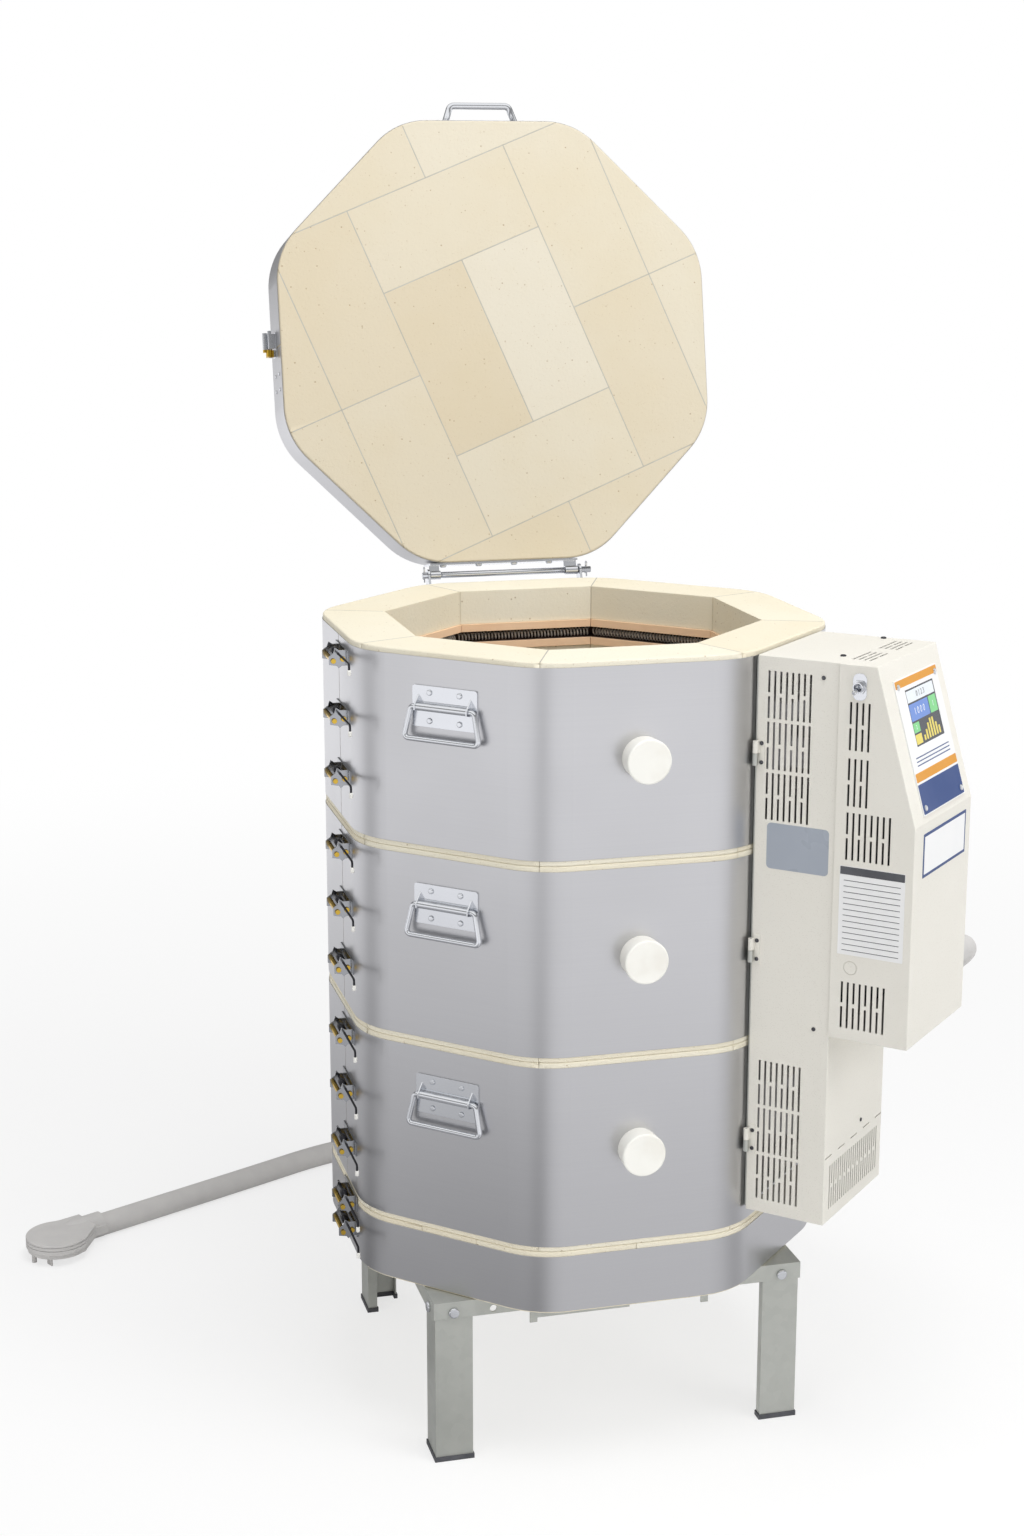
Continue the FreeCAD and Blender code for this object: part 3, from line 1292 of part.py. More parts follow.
def power_switch():
    """Toggle switch body behind the wall, with its bushing, nut and face plate outside."""
    t = HOUSING_T[0]
    width, height, depth = SWITCH_BODY
    n = SWITCH_N
    z = SWITCH_Z
    inside = t + BOX_STEEL
    body = box(inside, inside + depth, -n - width / 2, -n + width / 2, z - height / 2, z + height / 2)
    plate = box(t - 0.8, t, -n - 8.0, -n + 8.0, z - 15.0, z + 15.0)
    plate = plate.makeFillet(7.0, [e for e in plate.Edges if abs(e.BoundBox.XLength - 0.8) < 0.01])
    bush = cylinder(SWITCH_BUSH_RADIUS, (t - SWITCH_BUSH_LENGTH, -n, z), (inside, -n, z))
    nut = hexagon_nut(SWITCH_NUT_RADIUS, (t - 0.8 - SWITCH_NUT_THICK, -n, z), SWITCH_NUT_THICK)
    whole = fused([body, plate, bush, nut])
    pivot = t - SWITCH_PIVOT_OUT
    bore = SWITCH_DRUM_RADIUS + SWITCH_DRUM_CLEARANCE
    half = SWITCH_DRUM_HALF + SWITCH_DRUM_CLEARANCE
    throat = cone(SWITCH_MOUTH_RADIUS, bore, (t - SWITCH_BUSH_LENGTH, -n, z), (pivot, -n, z))
    seat = cylinder(bore, (pivot, -n - half, z), (pivot, -n + half, z))
    return turned(whole.cut([throat, seat]), BOX_FACE)


def switch_lever():
    """Bat lever on a drum that turns in the switch's throat, resting in its low position."""
    t = HOUSING_T[0] - SWITCH_PIVOT_OUT
    end = t - SWITCH_LEVER_LENGTH
    n = SWITCH_N
    z = SWITCH_Z
    edge = SWITCH_LEVER_END * 0.4
    drum = cylinder(SWITCH_DRUM_RADIUS, (t, -n - SWITCH_DRUM_HALF, z), (t, -n + SWITCH_DRUM_HALF, z))
    bat = cone(SWITCH_LEVER_NECK, SWITCH_LEVER_END, (t, -n, z), (end, -n, z))
    cap = cone(SWITCH_LEVER_END, SWITCH_LEVER_END - edge, (end, -n, z), (end - edge, -n, z))
    lever = fused([drum, bat, cap])
    lever.rotate(Vector(t, -n, z), Vector(0, 1, 0), -SWITCH_TILT)
    return turned(lever, BOX_FACE)


def relays():
    """Three power relays and the control transformer on the back panel."""
    pieces = []
    back = COVER_N[1]
    width, depth, height = RELAY_SIZE
    for t in RELAY_PLACES:
        body = box(t - width / 2, t + width / 2, -back - depth, -back, RELAY_Z - height / 2, RELAY_Z + height / 2)
        for offset in (-9.0, 9.0):
            tab = box(t + offset - 3, t + offset + 3, -back - depth - 6, -back - depth, RELAY_Z - 3, RELAY_Z + 3)
            body = body.fuse(tab)
        pieces.append(body)
    width, depth, height = TRANSFORMER_SIZE
    z = TRANSFORMER_Z
    core = box(-width / 2, width / 2, -back - depth, -back, z - height / 2, z + height / 2)
    coil = box(-width / 2 + 9, width / 2 - 9, -back - depth - 5, -back - 2, z - height / 2 - 6, z + height / 2 + 6)
    pieces.append(core.fuse(coil))
    return turned(group(pieces), BOX_FACE)


def element_terminals():
    """Ceramic block for each row, with two studs outside and two tails through the wall."""
    blocks = []
    inner = -JACKET_APOTHEM
    for z in row_heights():
        outer = inner - TERMINAL_OUT
        block = box(-TERMINAL_HALF_T, TERMINAL_HALF_T, outer, inner, z - TERMINAL_HALF_Z, z + TERMINAL_HALF_Z)
        pieces = [block]
        for side in (-TAIL_T, TAIL_T):
            start = -element_apothem() - ELEMENT_RADIUS
            pieces.append(cylinder(TAIL_RADIUS, (side, start, z), (side, inner, z)))
            pieces.append(cylinder(STUD_RADIUS, (side, outer, z), (side, outer - STUD_OUT, z)))
        blocks.append(turned(fused(pieces), BOX_FACE))
    return group(blocks)


def thermocouples():
    """Ceramic tube through the wall with its terminal head outside, one to a section."""
    pieces = []
    inner = -JACKET_APOTHEM
    for k in range(SECTION_COUNT):
        z = section_top(k) - THERMO_DROP
        tip = -INNER_APOTHEM + THERMO_REACH
        tube = cylinder(THERMO_RADIUS, (THERMO_T, tip, z), (THERMO_T, inner, z))
        head = box(THERMO_T - 10, THERMO_T + 10, inner - 14, inner, z - 9, z + 9)
        pieces.append(turned(fused([tube, head]), BOX_FACE))
    return group(pieces)


# Power cord

def on_box(n, t, z):
    """A point given by its distance out and along the box's face."""
    angle = math.radians(BOX_FACE)
    return (n * math.sin(angle) + t * math.cos(angle), -n * math.cos(angle) + t * math.sin(angle), z)


# Points of the cord from the strain relief to the plug
CORD_ROUTE = [
    on_box(GLAND_N, HOUSING_T[1] + GLAND_LENGTH, GLAND_Z),
    on_box(GLAND_N, HOUSING_T[1] + GLAND_LENGTH + 40.0, GLAND_Z),
    on_box(GLAND_N, 222.0, 560.0),
    on_box(400.0, 247.0, 524.0),
    on_box(345.0, 274.0, 481.0),
    (413.0, 50.0, 392.0),
    (394.0, 165.0, 286.0),
    (357.0, 285.0, 176.0),
    (298.0, 400.0, 82.0),
    (212.0, 508.0, 27.0),
    (110.0, 612.0, CORD_RADIUS),
    (-8.0, 694.0, CORD_RADIUS),
    (-140.0, 727.0, CORD_RADIUS),
    (-352.0, 617.0, CORD_RADIUS),
    (-550.0, 519.0, CORD_RADIUS),
]
BEND_SHARE = 0.45


def cord_radii(points):
    """Arc radius at each inner point: as large as its two runs allow."""
    radii = []
    for i in range(1, len(points) - 1):
        before = points[i] - points[i - 1]
        after = points[i + 1] - points[i]
        angle = before.getAngle(after)
        radii.append(BEND_SHARE * min(before.Length, after.Length) / math.tan(angle / 2))
    return radii


def power_cord():
    points = [Vector(*p) for p in CORD_ROUTE]
    radii = cord_radii(points)
    wire = bent_path(points, radii)
    cord = swept(wire, CORD_RADIUS)
    section = math.pi * CORD_RADIUS ** 2
    print("cord radii", [round(r) for r in radii])
    print("cord length %.1f, volume over section %.1f" % (wire.Length, cord.Volume / section))
    return cord


def cord_gland():
    """Strain relief on the control box's right wall: washer, hexagonal nut and a ribbed taper."""
    t = HOUSING_T[1]
    washer_end = t + GLAND_WASHER_THICK
    nut_end = washer_end + GLAND_NUT_THICK
    washer = cylinder(GLAND_FLANGE_RADIUS, (t, -GLAND_N, GLAND_Z), (washer_end, -GLAND_N, GLAND_Z))
    hexagon = hexagon_nut(GLAND_FLANGE_RADIUS, (washer_end, -GLAND_N, GLAND_Z), GLAND_NUT_THICK)
    taper = cone(GLAND_FLANGE_RADIUS - 4.0, GLAND_END_RADIUS,
                 (nut_end, -GLAND_N, GLAND_Z), (t + GLAND_LENGTH, -GLAND_N, GLAND_Z))
    for k in range(GLAND_RIB_COUNT):
        start = nut_end + 1.5 + k * GLAND_RIB_PITCH
        places = ((start, -GLAND_N, GLAND_Z), (start + GLAND_GROOVE_WIDTH, -GLAND_N, GLAND_Z))
        groove = cylinder(GLAND_FLANGE_RADIUS, *places).cut(cylinder(GLAND_GROOVE_RADIUS, *places))
        taper = taper.cut(groove)
    tail = cylinder(CORD_RADIUS, (t - 14.0, -GLAND_N, GLAND_Z), (t, -GLAND_N, GLAND_Z))
    nut = cylinder(GLAND_FLANGE_RADIUS, (t - BOX_STEEL - 5.0, -GLAND_N, GLAND_Z), (t - BOX_STEEL, -GLAND_N, GLAND_Z))
    return turned(fused([washer, hexagon, taper, tail, nut]), BOX_FACE)


def plug_place(shape):
    """Place a shape drawn along +X from the cord's end, on the floor at z = 0."""
    end = Vector(*CORD_ROUTE[-1])
    before = Vector(*CORD_ROUTE[-2])
    run = end - before
    copy = shape.copy()
    copy.rotate(Vector(0, 0, 0), Vector(0, 0, 1), math.degrees(math.atan2(run.y, run.x)))
    copy.translate(Vector(end.x, end.y, 0))
    return copy


def plug_layer(low, high, inset):
    """One layer of the plug's head between two heights, its outline drawn in by an inset."""
    reach = PLUG_HEAD_REACH
    shift = PLUG_HEAD_SHIFT
    radius = PLUG_BODY_RADIUS - inset
    disc = cylinder(radius, (reach, shift, low), (reach, shift, high))
    outline = [(22, -20 + inset, low), (22, 26 - inset, low), (reach - 22, shift + radius - 4.5, low),
               (reach, shift + radius, low), (reach, shift - radius, low), (reach - 25, shift - radius + 5.5, low)]
    return fused([disc, prism(outline, (0, 0, high - low))])


def cord_plug():
    """Flat angle plug: a stepped round head, and a collar for the cord that rises out of its top."""
    base = PRONG_LENGTH
    layers = [plug_layer(base + low, base + high, inset) for low, high, inset in PLUG_STEPS]
    low = base + PLUG_STEPS[-1][1]
    high = base + PLUG_BODY_HEIGHT
    top = plug_layer(low, high, 0.0)
    rims = [e for e in top.Edges if e.BoundBox.ZLength < 0.01 and abs(e.BoundBox.ZMin - high) < 0.01]
    layers.append(top.makeFillet(PLUG_TOP_EDGE, rims))
    axis = PLUG_COLLAR_RADIUS
    length = PLUG_COLLAR_LENGTH
    collar = cylinder(PLUG_COLLAR_RADIUS, (0, 0, axis), (length, 0, axis))
    end = length + PLUG_COLLAR_TAPER
    taper = cone(PLUG_COLLAR_RADIUS, PLUG_COLLAR_RADIUS * 0.7, (length, 0, axis), (end, 0, axis))
    fins = box(0, PLUG_FIN_LENGTH, -PLUG_FIN_HALF, PLUG_FIN_HALF, base, base + PLUG_STEPS[1][1])
    body = plug_place(fused(layers + [collar, taper, fins]))
    return group([body] + plug_prongs())


def plug_prongs():
    """Three flat blades and a round earth pin."""
    top = PRONG_LENGTH
    reach = PLUG_HEAD_REACH
    shift = PLUG_HEAD_SHIFT
    blades = [box(reach + 24, reach + 26, shift + 14, shift + 26, 0, top),
              box(reach - 16, reach - 14, shift - 6, shift + 6, 0, top),
              box(reach + 4, reach + 16, shift - 27, shift - 25, 0, top),
              cylinder(3.4, (reach + 37, shift - 2, 0), (reach + 37, shift - 2, top))]
    return [plug_place(blade) for blade in blades]


# Fasteners that stay on the kiln

def kiln_screws():
    screws = stand_bolts() + handle_screws()
    z = RIM - BRACKET_TOP_DROP - BRACKET_LOW + 18.0
    seat = -JACKET_APOTHEM - BRACKET_STEEL
    for x in HINGE_SCREWS_X:
        bolt = screw(-x, seat, z, BRACKET_STEEL, HINGE_SCREW_HEAD_RADIUS, HINGE_SCREW_HEAD_HEIGHT)
        screws.append(turned(bolt, 180))
    return group(screws)


def lid_screws():
    """Handle screws, hinge screws and the four rivets of the band's strap."""
    screws = []
    seat = -JACKET_APOTHEM - LIFT_PAD_THICK
    for side in (-1, 1):
        screws.append(screw(LIFT_X + side * LIFT_SCREW_HALF, seat, RIM + LIFT_RISE, LIFT_PAD_THICK))
    seat = -JACKET_APOTHEM - HINGE_PLATE_THICK
    for x in HINGE_SCREWS_X:
        bolt = screw(-x, seat, RIM + HINGE_SCREW_RISE, HINGE_PLATE_THICK,
                     HINGE_SCREW_HEAD_RADIUS, HINGE_SCREW_HEAD_HEIGHT)
        screws.append(turned(bolt, 180))
    for t in BAND_RIVET_T:
        for rise in BAND_RIVET_RISES:
            screws.append(turned(domed(RIVET_RADIUS, RIVET_HEIGHT, t, -JACKET_APOTHEM, RIM + rise), -90))
    return group([opened(piece) for piece in screws])


def build():
    save("stand_legs", group(at_four_corners(stand_leg())))
    save("leg_caps", group(at_four_corners(leg_cap())))
    save("stand_frame", stand_frame())
    save("floor_slab", brick_slab(FLOOR_BOTTOM, FLOOR_TOP, 0.0))
    save("floor_jacket", floor_jacket())
    for k in range(SECTION_COUNT):
        save("section_%d_bricks" % (k + 1), section_bricks(k))
        save("section_%d_jacket" % (k + 1), section_jacket(k))
        save("peephole_plug_%d" % (k + 1), peephole_plug(k))
    save("element_holders", element_holders())
    save("heating_elements", heating_elements())
    plates = []
    for side, face in zip(("left", "right"), HANDLE_FACES):
        for k in range(SECTION_COUNT):
            plates.append(turned(handle_plate(k), face))
            save("%s_handle_%d" % (side, k + 1), turned(handle_bail(k), face))
    save("handle_plates", group(plates))
    save("kiln_screws", kiln_screws())
    heights = clamp_heights()
    save("clamp_housings", group([turned(clamp_housing(z), -90) for z in heights]))
    barrels = []
    for index, z in enumerate(heights):
        barrels.extend(turned(barrel, -90) for barrel in clamp_barrels(z))
        save("clamp_rod_%d" % (index + 1), turned(clamp_rod(z), -90))
    save("clamp_barrels", group(barrels))
    save("lid_bricks", opened(lid_bricks()))
    save("lid_band", opened(lid_band()))
    save("lid_band_clamp", opened(turned(band_clamp(), -90)))
    save("lid_handle", opened(lid_handle()))
    save("lid_screws", lid_screws())
    save("lid_hinge_plate", opened(hinge_plate()))
    save("hinge_bracket", hinge_bracket())
    save("hinge_rod", hinge_rod())
    save("hinge_clips", hinge_clips())
    save("box_frame", box_frame())
    save("element_cover", element_cover())
    save("control_housing", control_housing())
    save("touch_panel", touch_panel())
    save("control_board", control_board())
    save("box_screws", box_screws())
    save("power_switch", power_switch())
    save("switch_lever", switch_lever())
    save("relays", relays())
    save("element_terminals", element_terminals())
    save("thermocouples", thermocouples())
    save("cord_gland", cord_gland())
    save("power_cord", power_cord())
    save("cord_plug", cord_plug())


build()
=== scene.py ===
import math

import bpy
from mathutils import Matrix, Vector

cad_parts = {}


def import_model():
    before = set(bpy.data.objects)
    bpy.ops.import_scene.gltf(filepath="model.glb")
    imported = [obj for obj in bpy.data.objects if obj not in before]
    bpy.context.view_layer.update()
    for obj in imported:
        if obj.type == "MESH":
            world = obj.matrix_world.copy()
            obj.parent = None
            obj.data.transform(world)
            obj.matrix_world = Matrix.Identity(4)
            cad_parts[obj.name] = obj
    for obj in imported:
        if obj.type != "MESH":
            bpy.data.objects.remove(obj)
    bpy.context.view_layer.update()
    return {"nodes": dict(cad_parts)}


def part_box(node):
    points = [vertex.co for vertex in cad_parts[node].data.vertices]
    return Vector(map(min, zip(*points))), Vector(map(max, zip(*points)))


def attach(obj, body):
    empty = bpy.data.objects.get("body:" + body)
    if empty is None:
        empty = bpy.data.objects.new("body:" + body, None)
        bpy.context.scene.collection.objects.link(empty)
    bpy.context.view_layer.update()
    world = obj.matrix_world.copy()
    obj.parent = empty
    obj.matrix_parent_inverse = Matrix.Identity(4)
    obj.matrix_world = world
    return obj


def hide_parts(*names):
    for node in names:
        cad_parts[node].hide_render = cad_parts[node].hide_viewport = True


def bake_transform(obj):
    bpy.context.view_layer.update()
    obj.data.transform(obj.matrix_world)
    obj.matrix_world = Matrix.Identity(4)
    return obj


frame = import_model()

# Ceramic kiln: looks of every piece, in metres, in the CAD model's own frame.
# A face of the kiln is drawn facing front, with x along it and y towards the back, and then turned.
MM = 0.001

# Sizes read from the frame
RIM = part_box("section_1_bricks")[1].z
FLOOR_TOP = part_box("floor_slab")[1].z
COVER_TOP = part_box("element_cover")[1].z
COVER_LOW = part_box("element_cover")[0].z
HOUSING_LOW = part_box("control_housing")[0].z

# Sizes of the construction
BRICK_WIDTH = 114.3 * MM
OUTER_APOTHEM = 286.2 * MM
JACKET_APOTHEM = 287.0 * MM
INNER_APOTHEM = 210.0 * MM
CORNER_RADIUS = 94.2 * MM
SECTION_HEIGHT = 228.6 * MM
LID_TURN = math.radians(-22.02)
LID_ANGLE = math.radians(101.5)
HINGE = Vector((0, 302.2 * MM, RIM + 7.8 * MM))
BOX_FACE = math.radians(45.0)
HOUSING_TOP_N = 431.0 * MM
HOUSING_FRONT_N = 481.0 * MM
HOUSING_KNEE_Z = RIM - 179.2 * MM
SLOPE = math.atan2(HOUSING_FRONT_N - HOUSING_TOP_N, COVER_TOP - HOUSING_KNEE_Z)
HOUSING_SIDE_T = -97.0 * MM
COVER_SIDE_T = -95.0 * MM
HOUSING_FAR_T = 79.0 * MM
COVER_FRONT_N = 387.0 * MM
FILM_THICK = 0.15 * MM
SHEET = 1.4 * MM

# Bricks of the two slabs: corners of each brick in brick widths, then how tan (over 0)
# or pale (under 0) it is
SLAB_BRICKS = {
    (-1, -1, 0, 1): 0.38, (0, -1, 1, 1): -0.4, (-1, -2, 1, -1): 0.1, (-1, 1, 1, 2): 0.0,
    (-2, -2, -1, 0): 0.3, (-2, 0, -1, 2): 0.15, (1, -2, 2, 0): 0.05, (1, 0, 2, 2): 0.2,
    (-2, -3, 0, -2): 0.15, (0, -3, 2, -2): -0.1, (-2, 2, 0, 3): 0.25, (0, 2, 2, 3): 0.15,
    (-3, -2, -2, 0): 0.3, (-3, 0, -2, 2): 0.2, (2, -2, 3, 0): 0.0, (2, 0, 3, 2): 0.0,
}
WALL_TONES = (0.05, -0.3, 0.2, 0.0, 0.1, -0.2, 0.15, -0.1)
JOINT_WIDTH = 1.4 * MM
JOINT_PROUD = 0.05 * MM
JOINT_INSET = 2.5 * MM
JOINT_STEP = 0.5 * MM
SHORTEST_SHARE = 0.02
RIM_JOINT_IN = 2.0 * MM
RIM_JOINT_OUT = 13.0 * MM

# Heating coils
ROW_DROPS = (59.0 * MM, 170.0 * MM)
COIL_APOTHEM = 220.9 * MM
COIL_DROP = 1.4 * MM
COIL_RADIUS = 4.5 * MM
COIL_WIRE = 1.0 * MM
COIL_PITCH = 4.4 * MM
COIL_TURNS = 40

# Clamp rods and the nut of the lid's band clamp
ROD_RADIUS = 1.7 * MM
NUT_MIDDLE = 6.5 * MM
NUT_REACH = 5.0 * MM
BAND_CLEAR = 3.0 * MM
TIP_RADIUS = 2.3 * MM
TIP_LENGTH = 6.5 * MM
TIP_RISE = 2.6 * MM
TIP_ROUNDING = 0.9 * MM

# Touch panel, along the slope of the control housing
PANEL_T = (-68.5 * MM, 58.5 * MM)
PANEL_DOWN = (21.7 * MM, 173.6 * MM)
PANEL_THICK = 1.6 * MM
SCREEN_T = (-44.0 * MM, 40.0 * MM)
SCREEN_DOWN = (36.0 * MM, 100.0 * MM)
SCREEN_RECESS = 0.6 * MM
PANEL_MARGIN = 1.2 * MM
TILE_MARGIN = 2.0 * MM
BAR_HEIGHTS = (6, 11, 17, 21, 21, 14, 9)
BAR_PITCH = 7.6 * MM
BAR_WIDTH = 4.6 * MM

# Bare plates: their places along t or n, and their heights
PLATE_THICK = 0.3 * MM
PLATE_T = (-70 * MM, 63 * MM)
PLATE_Z = (724 * MM, 774 * MM)
PLATE_BORDER = 3.5 * MM
LABEL_THICK = 0.2 * MM
LABEL_N = (305 * MM, 380 * MM)
LABEL_Z = (718 * MM, 771 * MM)
CARD_N = (395 * MM, 472 * MM)
CARD_Z = (632 * MM, 734 * MM)
CARD_RULES = 13
RULE_MARGIN = 5 * MM
RULE_PITCH = 6.7 * MM
RULE_WIDTH = 0.7 * MM
CARD_HEAD = 9 * MM
HEAD_MARGIN = 0.5 * MM

# Power cord
CORD_RADIUS = 16.0 * MM


# Small tools for modelling

def only(piece):
    """Select this piece alone and make it active."""
    bpy.ops.object.select_all(action="DESELECT")
    piece.select_set(True)
    bpy.context.view_layer.objects.active = piece


def settle(piece):
    """Put the object's place, turn and scale into its mesh."""
    only(piece)
    bpy.ops.object.transform_apply(location=True, rotation=True, scale=True)
    return piece


def place(piece, matrix):
    piece.data.transform(matrix)
    piece.data.update()
    return piece


def apply_modifiers(piece):
    only(piece)
    for modifier in list(piece.modifiers):
        bpy.ops.object.modifier_apply(modifier=modifier.name)


def edit(piece):
    only(piece)
    bpy.ops.object.mode_set(mode="EDIT")
    bpy.ops.mesh.select_all(action="SELECT")


def leave():
    bpy.ops.object.mode_set(mode="OBJECT")


def block(name, low, high):
    """A box between two corners, ready to be shaped."""
    bpy.ops.object.select_all(action="DESELECT")
    low, high = Vector(low), Vector(high)
    bpy.ops.mesh.primitive_cube_add(size=1, location=(low + high) / 2)
    piece = bpy.context.active_object
    piece.name = name
    piece.scale = high - low
    return settle(piece)


def softened(piece, width, segments):
    """Round the edges of a piece."""
    bevel = piece.modifiers.new("edges", "BEVEL")
    bevel.width = width
    bevel.segments = segments
    bevel.limit_method = "ANGLE"
    bevel.angle_limit = math.radians(30)
    apply_modifiers(piece)
    smooth(piece)
    return piece


def smooth(piece, angle=35.0):
    only(piece)
    bpy.ops.object.shade_smooth_by_angle(angle=math.radians(angle))
    return piece


def choose_edges(piece, wanted):
    """Enter edit mode with only the edges selected that the test wants."""
    only(piece)
    mesh = piece.data
    bpy.context.tool_settings.mesh_select_mode = (False, True, False)
    for part in (mesh.vertices, mesh.polygons, mesh.edges):
        part.foreach_set("select", [False] * len(part))
    for edge in mesh.edges:
        start, end = (mesh.vertices[index] for index in edge.vertices)
        if wanted(start.co, end.co):
            edge.select = start.select = end.select = True
    bpy.ops.object.mode_set(mode="EDIT")


def rounded_plate(name, low, high, radius, segments=5):
    """A thin plate facing front, its four corners rounded. Low and high are (x, y, z)."""
    plate = block(name, low, high)
    thick = abs(high[1] - low[1])
    choose_edges(plate, lambda start, end: abs(start.y - end.y) > thick * 0.5)
    bpy.ops.mesh.bevel(offset=radius, segments=segments, affect="EDGES")
    leave()
    return plate


def figures(name, text, height, x, y, z):
    """Plain raised figures facing front, centred on a place."""
    bpy.ops.object.select_all(action="DESELECT")
    bpy.ops.object.text_add()
    piece = bpy.context.active_object
    piece.name = name
    piece.data.body = text
    piece.data.size = height
    piece.data.extrude = FILM_THICK / 2
    piece.data.align_x = "CENTER"
    piece.data.align_y = "CENTER"
    piece.data.resolution_u = 3
    bpy.ops.object.convert(target="MESH")
    piece = bpy.context.active_object
    place(piece, Matrix.Translation((x, y, z)) @ Matrix.Rotation(math.radians(90), 4, "X"))
    return piece


def flat(piece):
    only(piece)
    bpy.ops.object.shade_flat()
    return piece


def joined(name, pieces):
    """Join several objects into one piece."""
    bpy.ops.object.select_all(action="DESELECT")
    for piece in pieces:
        piece.select_set(True)
    bpy.context.view_layer.objects.active = pieces[0]
    bpy.ops.object.join()
    whole = bpy.context.active_object
    whole.name = name
    return whole


def clean_copy(node, name):
    """A merged copy of a CAD node's mesh."""
    source = frame["nodes"][node]
    mesh = source.data.copy()
    mesh.materials.clear()
    piece = bpy.data.objects.new(name, mesh)
    bpy.context.scene.collection.objects.link(piece)
    edit(piece)
    bpy.ops.mesh.remove_doubles(threshold=0.00001)
    leave()
    return piece


def turned(angle):
    """A turn about the kiln's upright axis."""
    return Matrix.Rotation(angle, 4, "Z")


def mirrored(piece):
    """The piece mirrored from left to right, its faces pointing outwards again."""
    place(piece, Matrix.Scale(-1, 4, (1, 0, 0)))
    edit(piece)
    bpy.ops.mesh.flip_normals()
    leave()
    return piece


OPEN_LID = Matrix.Translation(HINGE) @ Matrix.Rotation(-LID_ANGLE, 4, "X") @ Matrix.Translation(-HINGE)
TO_BOX = Matrix.Rotation(BOX_FACE, 4, "Z")
TO_SLOPE = TO_BOX @ Matrix.Translation((0, -HOUSING_TOP_N, COVER_TOP)) @ Matrix.Rotation(-SLOPE, 4, "X")
TO_BOX_SIDE = TO_BOX @ Matrix.Rotation(math.radians(-90), 4, "Z")


# Shader tools

def tone(red, green, blue):
    """A colour given in screen values of 0 to 255."""
    linear = []
    for value in (red, green, blue):
        share = value / 255
        linear.append(share / 12.92 if share <= 0.04045 else ((share + 0.055) / 1.055) ** 2.4)
    return (*linear, 1.0)


def link(tree, value, socket):
    """Set a socket to a value, or join it to another node's output."""
    if isinstance(value, bpy.types.NodeSocket):
        tree.links.new(value, socket)
    else:
        socket.default_value = value


def maths(tree, operation, a, b=0.0, clamp=False):
    node = tree.nodes.new("ShaderNodeMath")
    node.operation = operation
    node.use_clamp = clamp
    link(tree, a, node.inputs[0])
    link(tree, b, node.inputs[1])
    return node.outputs[0]


def mixed(tree, share, a, b, blend="MIX"):
    node = tree.nodes.new("ShaderNodeMix")
    node.data_type = "RGBA"
    node.blend_type = blend
    link(tree, share, node.inputs[0])
    link(tree, a, node.inputs[6])
    link(tree, b, node.inputs[7])
    return node.outputs[2]


def spread(tree, value, low, high, to_low=0.0, to_high=1.0):
    """Map a value from one range to another, smoothly."""
    node = tree.nodes.new("ShaderNodeMapRange")
    node.interpolation_type = "SMOOTHSTEP"
    for index, entry in enumerate((value, low, high, to_low, to_high)):
        link(tree, entry, node.inputs[index])
    return node.outputs[0]


def object_place(tree):
    return tree.nodes.new("ShaderNodeTexCoord").outputs["Object"]


def stretched(tree, vector, scale):
    node = tree.nodes.new("ShaderNodeMapping")
    link(tree, vector, node.inputs["Vector"])
    node.inputs["Scale"].default_value = scale
    return node.outputs[0]


def noise(tree, vector, scale, detail=2.0, roughness=0.5):
    node = tree.nodes.new("ShaderNodeTexNoise")
    link(tree, vector, node.inputs["Vector"])
    link(tree, scale, node.inputs["Scale"])
    node.inputs["Detail"].default_value = detail
    node.inputs["Roughness"].default_value = roughness
    return node.outputs[0]


def axes(tree, vector):
    """The x, y and z of a vector, as three values."""
    parts = tree.nodes.new("ShaderNodeSeparateXYZ")
    tree.links.new(vector, parts.inputs[0])
    return parts.outputs


def box_directions(tree, where):
    """A place given along the boxes' face, out of it and upwards: t, n and z."""
    turn = tree.nodes.new("ShaderNodeMapping")
    turn.inputs["Rotation"].default_value = (0, 0, -BOX_FACE)
    tree.links.new(where, turn.inputs["Vector"])
    x, y, z = axes(tree, turn.outputs[0])
    return x, maths(tree, "MULTIPLY", y, -1.0), z


def all_of(tree, *masks):
    whole = masks[0]
    for mask in masks[1:]:
        whole = maths(tree, "MULTIPLY", whole, mask)
    return whole


def bumped(tree, height, distance, strength=1.0, normal=None):
    node = tree.nodes.new("ShaderNodeBump")
    link(tree, height, node.inputs["Height"])
    node.inputs["Distance"].default_value = distance
    node.inputs["Strength"].default_value = strength
    if normal is not None:
        tree.links.new(normal, node.inputs["Normal"])
    return node.outputs[0]


def new_group(name, inputs, outputs):
    """A shader group with its sockets: inputs are (name, value), outputs are (name, kind)."""
    group = bpy.data.node_groups.new(name, "ShaderNodeTree")
    for label, value in inputs:
        socket = group.interface.new_socket(label, in_out="INPUT", socket_type="NodeSocketFloat")
        socket.default_value = value
    for label, kind in outputs:
        group.interface.new_socket(label, in_out="OUTPUT", socket_type=kind)
    entry = group.nodes.new("NodeGroupInput")
    result = group.nodes.new("NodeGroupOutput")
    return group, entry, result


